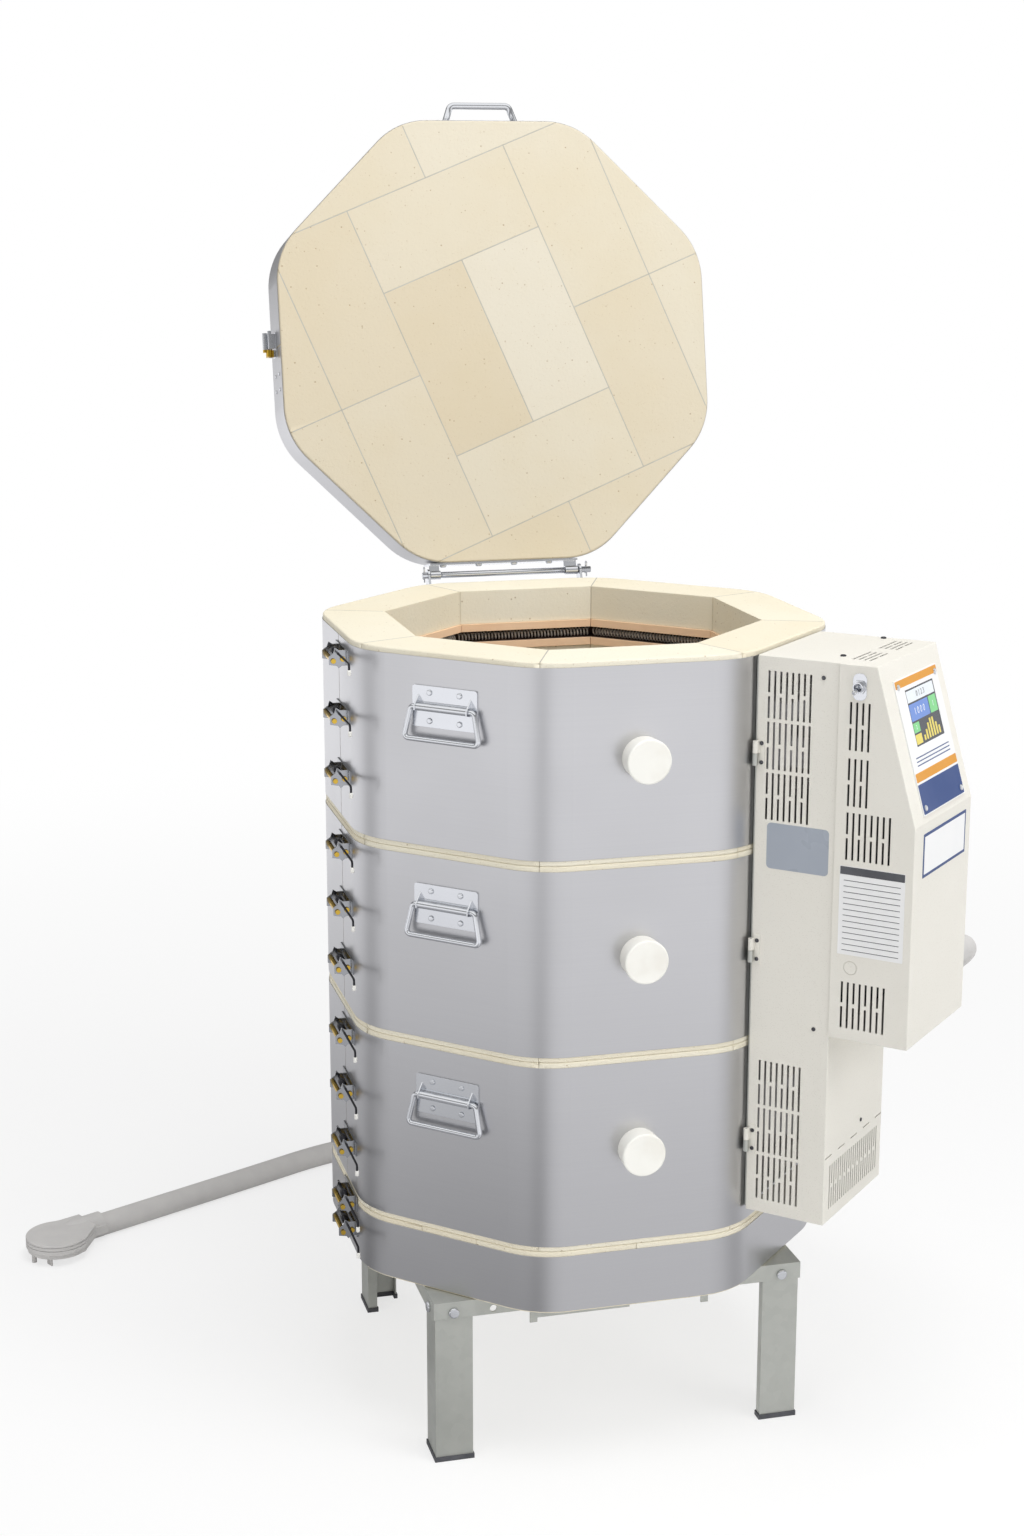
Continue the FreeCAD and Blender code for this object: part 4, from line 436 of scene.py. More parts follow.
def speckle_group():
    """Small scattered specks: Share of the cells have one, of the given Size."""
    group, entry, result = new_group(
        "speckle", [("Scale", 300.0), ("Share", 0.2), ("Size", 0.2)], [("Mask", "NodeSocketFloat")])
    cells = group.nodes.new("ShaderNodeTexVoronoi")
    link(group, object_place(group), cells.inputs["Vector"])
    link(group, entry.outputs["Scale"], cells.inputs["Scale"])
    random_value = group.nodes.new("ShaderNodeSeparateColor")
    group.links.new(cells.outputs["Color"], random_value.inputs[0])
    chosen = maths(group, "LESS_THAN", random_value.outputs[0], entry.outputs["Share"])
    size = maths(group, "MULTIPLY", entry.outputs["Size"], random_value.outputs[1])
    near = spread(group, cells.outputs["Distance"], 0.0, size, 1.0, 0.0)
    group.links.new(maths(group, "MULTIPLY", chosen, near), result.inputs["Mask"])
    return group


def cloud_group():
    """Broad and fine variation of a surface, as a value round 0.5."""
    group, entry, result = new_group(
        "cloud", [("Broad", 8.0), ("Fine", 120.0)],
        [("Value", "NodeSocketFloat"), ("Grain", "NodeSocketFloat")])
    where = object_place(group)
    group.links.new(noise(group, where, entry.outputs["Broad"], 3.0, 0.55), result.inputs["Value"])
    group.links.new(noise(group, where, entry.outputs["Fine"], 3.0, 0.6), result.inputs["Grain"])
    return group


def edge_group():
    """Normals softened at edges, and a mask of where the edges are."""
    group, entry, result = new_group(
        "edges", [("Radius", 0.0008)], [("Normal", "NodeSocketVector"), ("Edge", "NodeSocketFloat")])
    bevel = group.nodes.new("ShaderNodeBevel")
    bevel.samples = 4
    link(group, entry.outputs["Radius"], bevel.inputs["Radius"])
    geometry = group.nodes.new("ShaderNodeNewGeometry")
    likeness = group.nodes.new("ShaderNodeVectorMath")
    likeness.operation = "DOT_PRODUCT"
    group.links.new(bevel.outputs[0], likeness.inputs[0])
    group.links.new(geometry.outputs["Normal"], likeness.inputs[1])
    edge = spread(group, likeness.outputs["Value"], 0.75, 0.99, 1.0, 0.0)
    group.links.new(bevel.outputs[0], result.inputs["Normal"])
    group.links.new(edge, result.inputs["Edge"])
    return group


SPECKLE = speckle_group()
CLOUD = cloud_group()
EDGES = edge_group()


class Finish:
    """A material in the making: its node tree and its main shader."""

    def __init__(self, name, colour, roughness=0.5, metallic=0.0, coat=0.0):
        self.material = bpy.data.materials.new(name)
        self.material.use_nodes = True
        self.tree = self.material.node_tree
        self.shader = self.tree.nodes["Principled BSDF"]
        self.shader.inputs["Roughness"].default_value = roughness
        self.shader.inputs["Metallic"].default_value = metallic
        self.shader.inputs["Coat Weight"].default_value = coat
        self.shader.inputs["Base Color"].default_value = colour
        self.colour = colour
        self.normal = None

    def group(self, group, **values):
        node = self.tree.nodes.new("ShaderNodeGroup")
        node.node_tree = group
        for label, value in values.items():
            link(self.tree, value, node.inputs[label])
        return node.outputs

    def tint(self, share, colour, blend="MIX"):
        """Mix another colour over the present one."""
        self.colour = mixed(self.tree, share, self.colour, colour, blend)
        link(self.tree, self.colour, self.shader.inputs["Base Color"])

    def roughness(self, value, low, high):
        link(self.tree, spread(self.tree, value, 0.3, 0.7, low, high), self.shader.inputs["Roughness"])

    def edges(self, radius):
        soft = self.group(EDGES, Radius=radius)
        self.set_normal(soft["Normal"])
        return soft["Edge"]

    def bump(self, height, distance, strength=1.0):
        self.set_normal(bumped(self.tree, height, distance, strength, self.normal))

    def set_normal(self, normal):
        self.normal = normal
        self.tree.links.new(normal, self.shader.inputs["Normal"])

    def place(self):
        return object_place(self.tree)


# Finishes

def firebrick(name, colour, warm_colour, tan, pale):
    """Soft insulating brick: cream with tan patches, brown pores, a chalky grain and painted shade along
    its edges.
    """
    finish = Finish(name, colour, 0.9)
    tree = finish.tree
    brick_tone = tree.nodes.new("ShaderNodeAttribute")
    brick_tone.attribute_name = "tone"
    cloud = finish.group(CLOUD, Broad=9.0, Fine=260.0)
    warm = spread(tree, cloud["Value"], 0.35, 0.75, 0.0, 0.35)
    finish.tint(warm, warm_colour)
    finish.tint(maths(tree, "MULTIPLY", brick_tone.outputs["Fac"], 1.0, clamp=True), tan)
    grey = maths(tree, "MULTIPLY", brick_tone.outputs["Fac"], -1.0, clamp=True)
    finish.tint(grey, pale)
    pores = finish.group(SPECKLE, Scale=200.0, Share=0.16, Size=0.34)
    finish.tint(maths(tree, "MULTIPLY", pores["Mask"], 0.75), tone(150, 118, 78))
    dust = finish.group(SPECKLE, Scale=420.0, Share=0.35, Size=0.5)
    finish.tint(maths(tree, "MULTIPLY", dust["Mask"], 0.32), tone(178, 154, 116))
    edge = finish.edges(0.002)
    # painted shade: the edges tinted a darker brown
    finish.tint(maths(tree, "MULTIPLY", edge, 0.25), tone(214, 190, 142))
    relief = maths(tree, "SUBTRACT", cloud["Grain"], pores["Mask"])
    finish.bump(relief, 0.0006, 0.6)
    return finish.material


def mortar():
    """Thin pale cement in the joints of the slabs."""
    finish = Finish("joint_cement", tone(184, 182, 174), 0.9)
    cloud = finish.group(CLOUD, Broad=60.0, Fine=700.0)
    finish.tint(spread(finish.tree, cloud["Value"], 0.3, 0.7, 0.0, 0.5), tone(168, 164, 152))
    finish.bump(cloud["Grain"], 0.0003)
    return finish.material


def stainless():
    """Bright rolled stainless sheet with a faint level grain and a painted highlight along its edges."""
    finish = Finish("stainless_sheet", tone(206, 206, 208), 0.3, 1.0)
    tree = finish.tree
    cloud = finish.group(CLOUD, Broad=3.0, Fine=40.0)
    grain = noise(tree, stretched(tree, finish.place(), (6.0, 6.0, 900.0)), 1.0, 3.0, 0.6)
    finish.tint(spread(tree, grain, 0.3, 0.7, 0.0, 0.10), tone(190, 189, 193))
    finish.roughness(cloud["Value"], 0.30, 0.38)
    edge = finish.edges(0.0006)
    # painted highlight: a near-white tint along the edges
    finish.tint(maths(tree, "MULTIPLY", edge, 0.5), tone(236, 236, 236))
    finish.bump(grain, 0.00002, 0.5)
    return finish.material


def plated(name, colour, low, high, edge_highlight):
    """Plated steel: even and bright, a little uneven in gloss, with a painted highlight along its edges.
    """
    finish = Finish(name, colour, low, 1.0)
    cloud = finish.group(CLOUD, Broad=20.0, Fine=300.0)
    finish.roughness(cloud["Value"], low, high)
    edge = finish.edges(0.0005)
    # painted highlight: a lighter colour along the edges
    finish.tint(maths(finish.tree, "MULTIPLY", edge, 0.6), edge_highlight)
    finish.bump(cloud["Grain"], 0.00003, 0.4)
    return finish.material


def band_clamp_steel():
    """Bright zinc of the lid's band clamp, with its nut plated yellow."""
    finish = Finish("band_clamp_steel", tone(206, 208, 212), 0.18, 1.0)
    tree = finish.tree
    closed = tree.nodes.new("ShaderNodeMapping")
    turn = Matrix.Rotation(LID_ANGLE, 3, "X")
    closed.inputs["Rotation"].default_value = (LID_ANGLE, 0, 0)
    closed.inputs["Location"].default_value = HINGE - turn @ HINGE
    tree.links.new(finish.place(), closed.inputs["Vector"])
    x, y, z = axes(tree, closed.outputs[0])
    from_nut = maths(tree, "ABSOLUTE", maths(tree, "SUBTRACT", y, NUT_MIDDLE))
    nut = maths(tree, "LESS_THAN", from_nut, NUT_REACH)
    off_band = maths(tree, "LESS_THAN", x, -(JACKET_APOTHEM + BAND_CLEAR))
    finish.tint(maths(tree, "MULTIPLY", nut, off_band), tone(206, 168, 58))
    cloud = finish.group(CLOUD, Broad=20.0, Fine=300.0)
    finish.roughness(cloud["Value"], 0.14, 0.26)
    finish.edges(0.0005)
    return finish.material


def box_screw():
    """Bright screws on the touch panel and dark ones on the painted sheets."""
    finish = Finish("box_screw", tone(88, 88, 92), 0.3, 1.0)
    tree = finish.tree
    t, n, z = box_directions(tree, finish.place())
    out = maths(tree, "GREATER_THAN", n, HOUSING_TOP_N + 1 * MM)
    under = maths(tree, "LESS_THAN", z, COVER_TOP - 0.5 * MM)
    beside = maths(tree, "GREATER_THAN", t, COVER_SIDE_T)
    finish.tint(all_of(tree, out, under, beside), tone(224, 226, 230))
    cloud = finish.group(CLOUD, Broad=60.0, Fine=400.0)
    finish.roughness(cloud["Value"], 0.2, 0.35)
    finish.edges(0.0004)
    return finish.material


def galvanised():
    """Hot-dipped sheet of the stand: matt, mottled grey, with a painted highlight along its edges."""
    finish = Finish("galvanised_sheet", tone(196, 198, 192), 0.45, 0.6)
    tree = finish.tree
    cells = tree.nodes.new("ShaderNodeTexVoronoi")
    cells.inputs["Scale"].default_value = 90.0
    link(tree, finish.place(), cells.inputs["Vector"])
    spangle = tree.nodes.new("ShaderNodeSeparateColor")
    tree.links.new(cells.outputs["Color"], spangle.inputs[0])
    finish.tint(maths(tree, "MULTIPLY", spangle.outputs[0], 0.35), tone(180, 183, 177))
    cloud = finish.group(CLOUD, Broad=30.0, Fine=400.0)
    finish.tint(spread(tree, cloud["Value"], 0.4, 0.7, 0.0, 0.35), tone(206, 207, 201))
    finish.roughness(cloud["Value"], 0.36, 0.5)
    edge = finish.edges(0.0007)
    # painted highlight: a lighter tint along the edges
    finish.tint(maths(tree, "MULTIPLY", edge, 0.6), tone(214, 214, 210))
    finish.bump(cloud["Grain"], 0.00005, 0.5)
    return finish.material


def powder_coat(name, colour, fleck, light):
    """Textured powder coat with fine flecks, a painted highlight along its edges and painted shade on the
    boxes' inner faces.
    """
    finish = Finish(name, colour, 0.5)
    tree = finish.tree
    flecks = finish.group(SPECKLE, Scale=900.0, Share=0.4, Size=0.6)
    finish.tint(maths(tree, "MULTIPLY", flecks["Mask"], 0.8), fleck)
    cloud = finish.group(CLOUD, Broad=5.0, Fine=1100.0)
    finish.tint(spread(tree, cloud["Value"], 0.4, 0.7, 0.0, 0.25), light)
    finish.roughness(cloud["Grain"], 0.42, 0.6)
    edge = finish.edges(0.0009)
    # painted highlight: the edges tinted lighter
    finish.tint(maths(tree, "MULTIPLY", edge, 0.5), light)
    # painted shade: the boxes' inner faces, seen through the vents, painted near black
    finish.tint(shaded_box_insides(tree, finish.place()), tone(30, 29, 28))
    finish.bump(cloud["Grain"], 0.0002, 0.5)
    return finish.material


def shaded_box_insides(tree, where):
    """1 on the inner faces of the element cover and the control housing, which get painted shade."""
    t, n, z = box_directions(tree, where)
    under_top = maths(tree, "LESS_THAN", z, COVER_TOP - SHEET)
    between = all_of(tree, maths(tree, "GREATER_THAN", t, HOUSING_SIDE_T + 2 * SHEET),
                     maths(tree, "LESS_THAN", t, HOUSING_FAR_T - 2 * SHEET), under_top)
    in_cover = all_of(tree, maths(tree, "LESS_THAN", n, COVER_FRONT_N - SHEET),
                      maths(tree, "GREATER_THAN", z, COVER_LOW + SHEET))
    down = maths(tree, "SUBTRACT", COVER_TOP, z)
    slope = maths(tree, "ADD", maths(tree, "MULTIPLY", down, math.tan(SLOPE)), HOUSING_TOP_N - 1.2 * SHEET)
    front = maths(tree, "MINIMUM", slope, HOUSING_FRONT_N - SHEET)
    in_housing = all_of(tree, maths(tree, "LESS_THAN", n, front),
                        maths(tree, "GREATER_THAN", z, HOUSING_LOW + SHEET))
    return maths(tree, "MULTIPLY", between, maths(tree, "MAXIMUM", in_cover, in_housing))


def chalky(name, colour, shade):
    """Unglazed ceramic: matt, slightly clouded, with a fine grain and painted shade along its edges."""
    finish = Finish(name, colour, 0.75)
    tree = finish.tree
    cloud = finish.group(CLOUD, Broad=25.0, Fine=500.0)
    finish.tint(spread(tree, cloud["Value"], 0.4, 0.75, 0.0, 0.5), shade)
    specks = finish.group(SPECKLE, Scale=400.0, Share=0.12, Size=0.35)
    finish.tint(maths(tree, "MULTIPLY", specks["Mask"], 0.4), shade)
    edge = finish.edges(0.0008)
    # painted shade: the edges tinted a little darker
    finish.tint(maths(tree, "MULTIPLY", edge, 0.3), shade)
    finish.bump(cloud["Grain"], 0.0002, 0.5)
    return finish.material


def element_holder():
    """Peach ceramic channel, dark brown deep inside its groove."""
    finish = Finish("holder_ceramic", tone(240, 206, 172), 0.8)
    tree = finish.tree
    across, back, height = axes(tree, finish.place())
    x = maths(tree, "ABSOLUTE", across)
    y = maths(tree, "ABSOLUTE", back)
    diagonal = maths(tree, "MULTIPLY", maths(tree, "ADD", x, y), math.sqrt(0.5))
    reach = maths(tree, "MAXIMUM", maths(tree, "MAXIMUM", x, y), diagonal)
    deep = spread(tree, reach, INNER_APOTHEM - 1.5 * MM, INNER_APOTHEM + 2.5 * MM)
    cloud = finish.group(CLOUD, Broad=18.0, Fine=300.0)
    finish.tint(spread(tree, cloud["Value"], 0.4, 0.7, 0.0, 0.5), tone(230, 190, 154))
    # dark brown on the faces deep inside the groove
    finish.tint(deep, tone(66, 48, 40))
    finish.edges(0.0006)
    finish.bump(cloud["Grain"], 0.0002, 0.5)
    return finish.material


def element_wire():
    """Oxidised resistance wire."""
    finish = Finish("element_wire", tone(214, 210, 206), 0.5, 0.2)
    cloud = finish.group(CLOUD, Broad=30.0, Fine=600.0)
    finish.tint(spread(finish.tree, cloud["Value"], 0.4, 0.7, 0.0, 0.7), tone(172, 164, 156))
    return finish.material


def grey_sheath():
    """Mid-grey cord sheath and plug with a fine mottled skin."""
    finish = Finish("grey_sheath", tone(208, 206, 204), 0.7)
    tree = finish.tree
    cloud = finish.group(CLOUD, Broad=40.0, Fine=900.0)
    finish.tint(spread(tree, cloud["Value"], 0.35, 0.7, 0.0, 0.35), tone(196, 194, 194))
    flecks = finish.group(SPECKLE, Scale=800.0, Share=0.35, Size=0.5)
    finish.tint(maths(tree, "MULTIPLY", flecks["Mask"], 0.3), tone(172, 170, 172))
    finish.edges(0.0008)
    finish.bump(cloud["Grain"], 0.0003, 0.6)
    return finish.material


def moulded(name, colour, light, roughness=0.5):
    """Moulded plastic or satin paint with a fine texture and a painted highlight along its edges."""
    finish = Finish(name, colour, roughness)
    tree = finish.tree
    cloud = finish.group(CLOUD, Broad=30.0, Fine=900.0)
    finish.tint(spread(tree, cloud["Value"], 0.4, 0.7, 0.0, 0.4), light)
    finish.roughness(cloud["Value"], roughness - 0.06, roughness + 0.06)
    edge = finish.edges(0.0006)
    # painted highlight: a lighter tint along the edges
    finish.tint(maths(tree, "MULTIPLY", edge, 0.4), light)
    finish.bump(cloud["Grain"], 0.0001, 0.4)
    return finish.material


def film(name, colour, shade, roughness=0.35):
    """Printed film or paint of one colour, very slightly uneven."""
    finish = Finish(name, colour, roughness, coat=0.1)
    cloud = finish.group(CLOUD, Broad=12.0, Fine=800.0)
    finish.tint(spread(finish.tree, cloud["Value"], 0.4, 0.7, 0.0, 0.25), shade)
    finish.roughness(cloud["Value"], roughness - 0.05, roughness + 0.05)
    finish.bump(cloud["Grain"], 0.00003, 0.3)
    return finish.material


FIREBRICK = firebrick(
    "firebrick", tone(233, 227, 208), tone(228, 218, 192), tone(220, 205, 174), tone(236, 232, 218))
# The lid's bricks are the same firebrick in darker colours: painted shade on the lid's face.
SHADED_LID_BRICK = firebrick(
    "lid_firebrick_painted_shade", tone(213, 205, 186), tone(209, 197, 170), tone(200, 182, 148), tone(216, 211, 198))
MORTAR = mortar()
STAINLESS = stainless()
BRIGHT_ZINC = plated("bright_zinc", tone(220, 222, 226), 0.10, 0.2, tone(245, 245, 245))
DARK_ROD = plated("blackened_rod", tone(58, 58, 62), 0.3, 0.45, tone(120, 120, 120))
CLAMP_STEEL = plated("clamp_steel", tone(164, 166, 170), 0.12, 0.28, tone(236, 236, 236))
BAND_CLAMP = band_clamp_steel()
YELLOW_ZINC = plated("yellow_zinc", tone(214, 178, 74), 0.2, 0.35, tone(240, 216, 130))
GALVANISED = galvanised()
CREAM_PAINT = powder_coat(
    "cream_powder_coat", tone(229, 226, 217), tone(200, 195, 185), tone(238, 235, 228))
WHITE_CERAMIC = chalky("plug_ceramic", tone(244, 243, 237), tone(230, 226, 217))
HOLDER = element_holder()
WIRE = element_wire()
SHEATH = grey_sheath()
BOX_SCREW = box_screw()
CAP_PLASTIC = moulded("dark_cap", tone(78, 79, 84), tone(104, 105, 110), 0.55)
BLACK_PLASTIC = moulded("black_plastic", tone(34, 34, 36), tone(60, 60, 64), 0.45)
BOARD = moulded("circuit_board", tone(26, 92, 56), tone(40, 116, 72), 0.4)
WHITE_FILM = film("white_film", tone(238, 238, 238), tone(230, 231, 233))
BLUE_FILM = film("blue_film", tone(36, 66, 124), tone(32, 60, 116), 0.5)
AMBER_FILM = film("amber_film", tone(216, 148, 38), tone(208, 140, 32), 0.5)
LABEL_GREY = film("label_grey", tone(160, 167, 178), tone(150, 158, 170), 0.3)
SCREEN_DARK = film("screen_dark", tone(40, 44, 56), tone(32, 36, 48), 0.2)
SCREEN_PALE = film("screen_pale", tone(226, 232, 238), tone(214, 222, 232), 0.2)
SCREEN_BLUE = film("screen_blue", tone(96, 134, 208), tone(84, 122, 198), 0.2)
SCREEN_GREEN = film("screen_green", tone(120, 206, 130), tone(104, 192, 116), 0.2)
SCREEN_YELLOW = film("screen_yellow", tone(226, 208, 88), tone(214, 196, 74), 0.2)
TIP_WHITE = moulded("tip_white", tone(232, 231, 226), tone(244, 243, 240), 0.4)


def dress(material, *nodes):
    """Give CAD nodes their finish."""
    for node in nodes:
        mesh = frame["nodes"][node].data
        mesh.materials.clear()
        mesh.materials.append(material)


def finished(piece, material, body, replaced=()):
    """Give a new piece its finish, its body and the CAD nodes that it stands for."""
    piece.data.materials.clear()
    piece.data.materials.append(material)
    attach(piece, body)
    if replaced:
        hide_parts(*replaced)
    return piece


def dress_cad():
    numbers = (1, 2, 3)
    dress(FIREBRICK, "floor_slab", "lid_bricks", *["section_%d_bricks" % k for k in numbers])
    dress(STAINLESS, "floor_jacket", "lid_band", *["section_%d_jacket" % k for k in numbers])
    dress(WHITE_CERAMIC, "element_terminals", "thermocouples", *["peephole_plug_%d" % k for k in numbers])
    dress(GALVANISED, "stand_legs", "stand_frame", "box_frame")
    dress(CAP_PLASTIC, "leg_caps")
    dress(HOLDER, "element_holders")
    dress(WIRE, "heating_elements")
    handles = ["%s_handle_%d" % (side, k) for side in ("left", "right") for k in numbers]
    dress(BRIGHT_ZINC, "handle_plates", "kiln_screws", "lid_handle",
          "lid_screws", "lid_hinge_plate", "hinge_bracket", "hinge_rod", "hinge_clips",
          "power_switch", "switch_lever", *handles)
    dress(CLAMP_STEEL, "clamp_housings")
    dress(BAND_CLAMP, "lid_band_clamp")
    dress(BOX_SCREW, "box_screws")
    dress(YELLOW_ZINC, "clamp_barrels")
    dress(DARK_ROD, *["clamp_rod_%d" % (k + 1) for k in range(11)])
    dress(CREAM_PAINT, "element_cover", "control_housing")
    dress(WHITE_FILM, "touch_panel")
    dress(BOARD, "control_board")
    dress(BLACK_PLASTIC, "relays", "cord_gland")
    dress(SHEATH, "power_cord", "cord_plug")


# Brickwork

def in_octagon(start, end, apothem, turn):
    """The part of a line that lies inside a turned octagon, or nothing."""
    near, far = 0.0, 1.0
    along = end - start
    for side in range(8):
        angle = math.radians(45 * side) - turn
        normal = Vector((math.cos(angle), math.sin(angle)))
        climb = normal.dot(along)
        room = apothem - normal.dot(start)
        if abs(climb) < 1e-9:
            if room < 0:
                return None
        elif climb > 0:
            far = min(far, room / climb)
        else:
            near = max(near, room / climb)
    if far - near <= SHORTEST_SHARE:
        return None
    return start + along * near, start + along * far


def slab_joints():
    """Every joint line of the slab bricks, in brick widths, as runs of whole brick edges."""
    runs = {}
    for x0, y0, x1, y1 in SLAB_BRICKS:
        for x in (x0, x1):
            runs.setdefault(("upright", x), set()).update(range(y0, y1))
        for y in (y0, y1):
            runs.setdefault(("level", y), set()).update(range(x0, x1))
    lines = []
    for (way, place_across), steps in runs.items():
        for step in sorted(steps):
            if step - 1 in steps:
                continue
            last = step
            while last + 1 in steps:
                last += 1
            ends = (Vector((place_across, step)), Vector((place_across, last + 1)))
            if way == "level":
                ends = tuple(Vector((end.y, end.x)) for end in ends)
            lines.append(ends)
    return lines


def cement_strip(name, start, end, z, up):
    """A thin line of cement between two points of a level face, standing a little proud of it."""
    along = end - start
    low = (0, -JOINT_WIDTH / 2, 0)
    high = (along.length, JOINT_WIDTH / 2, JOINT_PROUD)
    strip = block(name, low, high)
    choose_edges(strip, lambda a, b: min(a.z, b.z) > JOINT_PROUD / 2 and abs(a.y - b.y) < JOINT_WIDTH / 2)
    bpy.ops.mesh.bevel(offset=JOINT_PROUD / 2, segments=1, affect="EDGES")
    leave()
    if not up:
        place(strip, Matrix.Rotation(math.pi, 4, "X"))
    angle = math.atan2(along.y, along.x)
    return place(strip, Matrix.Translation((start.x, start.y, z)) @ turned(angle))


def on_slab_face(point, turn):
    """Whether a point lies on the face of a slab, a little in from its edge and its rounded corners."""
    eighth = math.radians(45)
    angle = math.atan2(point.y, point.x) + turn
    away = angle - round(angle / eighth) * eighth
    out = point.length * math.cos(away)
    along = abs(point.length * math.sin(away))
    core = OUTER_APOTHEM - CORNER_RADIUS
    half = core * math.tan(eighth / 2)
    if along <= half:
        return out <= OUTER_APOTHEM - JOINT_INSET
    return math.hypot(out - core, along - half) <= CORNER_RADIUS - JOINT_INSET


def slab_cement(name, z, turn, up):
    """The cement lines of one face of a slab."""
    strips = []
    for start, end in slab_joints():
        line = in_octagon(start * BRICK_WIDTH, end * BRICK_WIDTH, OUTER_APOTHEM - JOINT_INSET, turn)
        if line is None:
            continue
        start, end = line
        step = (end - start).normalized() * JOINT_STEP
        while not on_slab_face(start, turn):
            start = start + step
        while not on_slab_face(end, turn):
            end = end - step
        strips.append(cement_strip(name, start, end, z, up))
    return place(joined(name, strips), turned(turn))


def rim_cement():
    """The cement at the mitred brick ends, on the rim of the top section."""
    strips = []
    for side in range(8):
        angle = math.radians(22.5 + 45 * side)
        outward = Vector((math.cos(angle), math.sin(angle)))
        inner = outward * (INNER_APOTHEM + RIM_JOINT_IN) / math.cos(math.radians(22.5))
        outer = outward * (OUTER_APOTHEM + RIM_JOINT_OUT)
        strips.append(cement_strip("rim_cement", inner, outer, RIM, True))
    return joined("rim_cement", strips)


def set_tones(piece, tone_of):
    """Give every face the tone of the brick that it is part of."""
    tones = piece.data.attributes.new("tone", "FLOAT", "FACE")
    for polygon, entry in zip(piece.data.polygons, tones.data):
        entry.value = tone_of(polygon.center)


def slab_tone(point):
    """Tone of the slab brick at a point that is given in the slab's own directions."""
    x, y = point.x / BRICK_WIDTH, point.y / BRICK_WIDTH
    for (x0, y0, x1, y1), value in SLAB_BRICKS.items():
        if x0 <= x < x1 and y0 <= y < y1:
            return value
    return 0.0


def wall_tone(point, shift):
    """Tone of the wall brick at a point, its bricks counted round the kiln."""
    side = round(math.degrees(math.atan2(point.y, point.x)) / 45) % 8
    return WALL_TONES[(side + shift) % 8]


def brickwork():
    """Bricks of the lid, the floor and the sections. The lid's copy is mirrored from its node's layout."""
    lid = mirrored(clean_copy("lid_bricks", "lid_brickwork"))
    to_slab = turned(-LID_TURN) @ OPEN_LID.inverted()
    set_tones(lid, lambda point: slab_tone(to_slab @ point))
    finished(flat(lid), SHADED_LID_BRICK, "lid", ["lid_bricks"])
    cement = place(slab_cement("lid_cement", RIM, LID_TURN, False), OPEN_LID)
    finished(cement, MORTAR, "lid")
    slab = clean_copy("floor_slab", "floor_brickwork")
    set_tones(slab, slab_tone)
    finished(flat(slab), FIREBRICK, "kiln", ["floor_slab"])
    finished(slab_cement("floor_cement", FLOOR_TOP, 0.0, True), MORTAR, "kiln")
    for section in (1, 2, 3):
        node = "section_%d_bricks" % section
        ring = clean_copy(node, "section_%d_brickwork" % section)
        set_tones(ring, lambda point: wall_tone(point, 3 * section))
        finished(flat(ring), FIREBRICK, "kiln", [node])
    finished(rim_cement(), MORTAR, "kiln")


# Heating coils

def one_coil():
    """One side's length of coiled wire, along x, wound by a screw from a small ring."""
    bpy.ops.object.select_all(action="DESELECT")
    bpy.ops.mesh.primitive_circle_add(vertices=4, radius=COIL_WIRE, location=(0, 0, COIL_RADIUS),
                                      rotation=(math.radians(90), 0, 0))
    coil = settle(bpy.context.active_object)
    coil.name = "coil"
    screw = coil.modifiers.new("winding", "SCREW")
    screw.axis = "X"
    screw.screw_offset = COIL_PITCH
    screw.iterations = COIL_TURNS
    screw.steps = screw.render_steps = 10
    screw.use_merge_vertices = False
    screw.use_normal_calculate = True
    apply_modifiers(coil)
    return place(coil, Matrix.Translation((-COIL_PITCH * COIL_TURNS / 2, -COIL_APOTHEM, 0)))


def heating_coils():
    """Six rings of coiled wire in the grooves of the holders."""
    first = one_coil()
    coils = [first]
    for section in range(3):
        for drop in ROW_DROPS:
            z = RIM - section * SECTION_HEIGHT - drop - COIL_DROP
            for side in range(8):
                coil = first.copy()
                coil.data = first.data.copy()
                bpy.context.scene.collection.objects.link(coil)
                coils.append(place(coil, Matrix.Translation((0, 0, z)) @ turned(math.radians(45 * side))))
    bpy.data.objects.remove(coils.pop(0))
    whole = smooth(joined("element_coils", coils), 60.0)
    finished(whole, WIRE, "kiln", ["heating_elements"])


# Round metal pieces

def round_pieces():
    """Rods, bails and screw heads, their meshes merged so that they shade as round."""
    owners = {"lid_handle": "lid", "lid_screws": "lid", "kiln_screws": "kiln", "hinge_rod": "kiln",
              "hinge_clips": "kiln"}
    for side in ("left", "right"):
        for k in (1, 2, 3):
            owners["%s_handle_%d" % (side, k)] = "%s_handle_%d" % (side, k)
    for k in range(11):
        owners["clamp_rod_%d" % (k + 1)] = "clamp_rod_%d" % (k + 1)
    for node, body in owners.items():
        piece = smooth(clean_copy(node, node + "_round"), 55.0)
        if node.startswith("clamp_rod"):
            finished(piece, DARK_ROD, body, [node])
        else:
            finished(piece, BRIGHT_ZINC, body, [node])


# Touch panel and bare plates

def panel_tile(name, t_range, down_range, depth, radius=1.0 * MM):
    """A thin film on the panel, given by its place along t and down the slope, facing front."""
    low = (t_range[0], depth - FILM_THICK, -down_range[1])
    high = (t_range[1], depth, -down_range[0])
    return rounded_plate(name, low, high, radius, 3)


def on_panel(pieces, name, material):
    whole = joined(name, pieces) if len(pieces) > 1 else pieces[0]
    whole.name = name
    finished(place(smooth(whole), TO_SLOPE), material, "control_box")


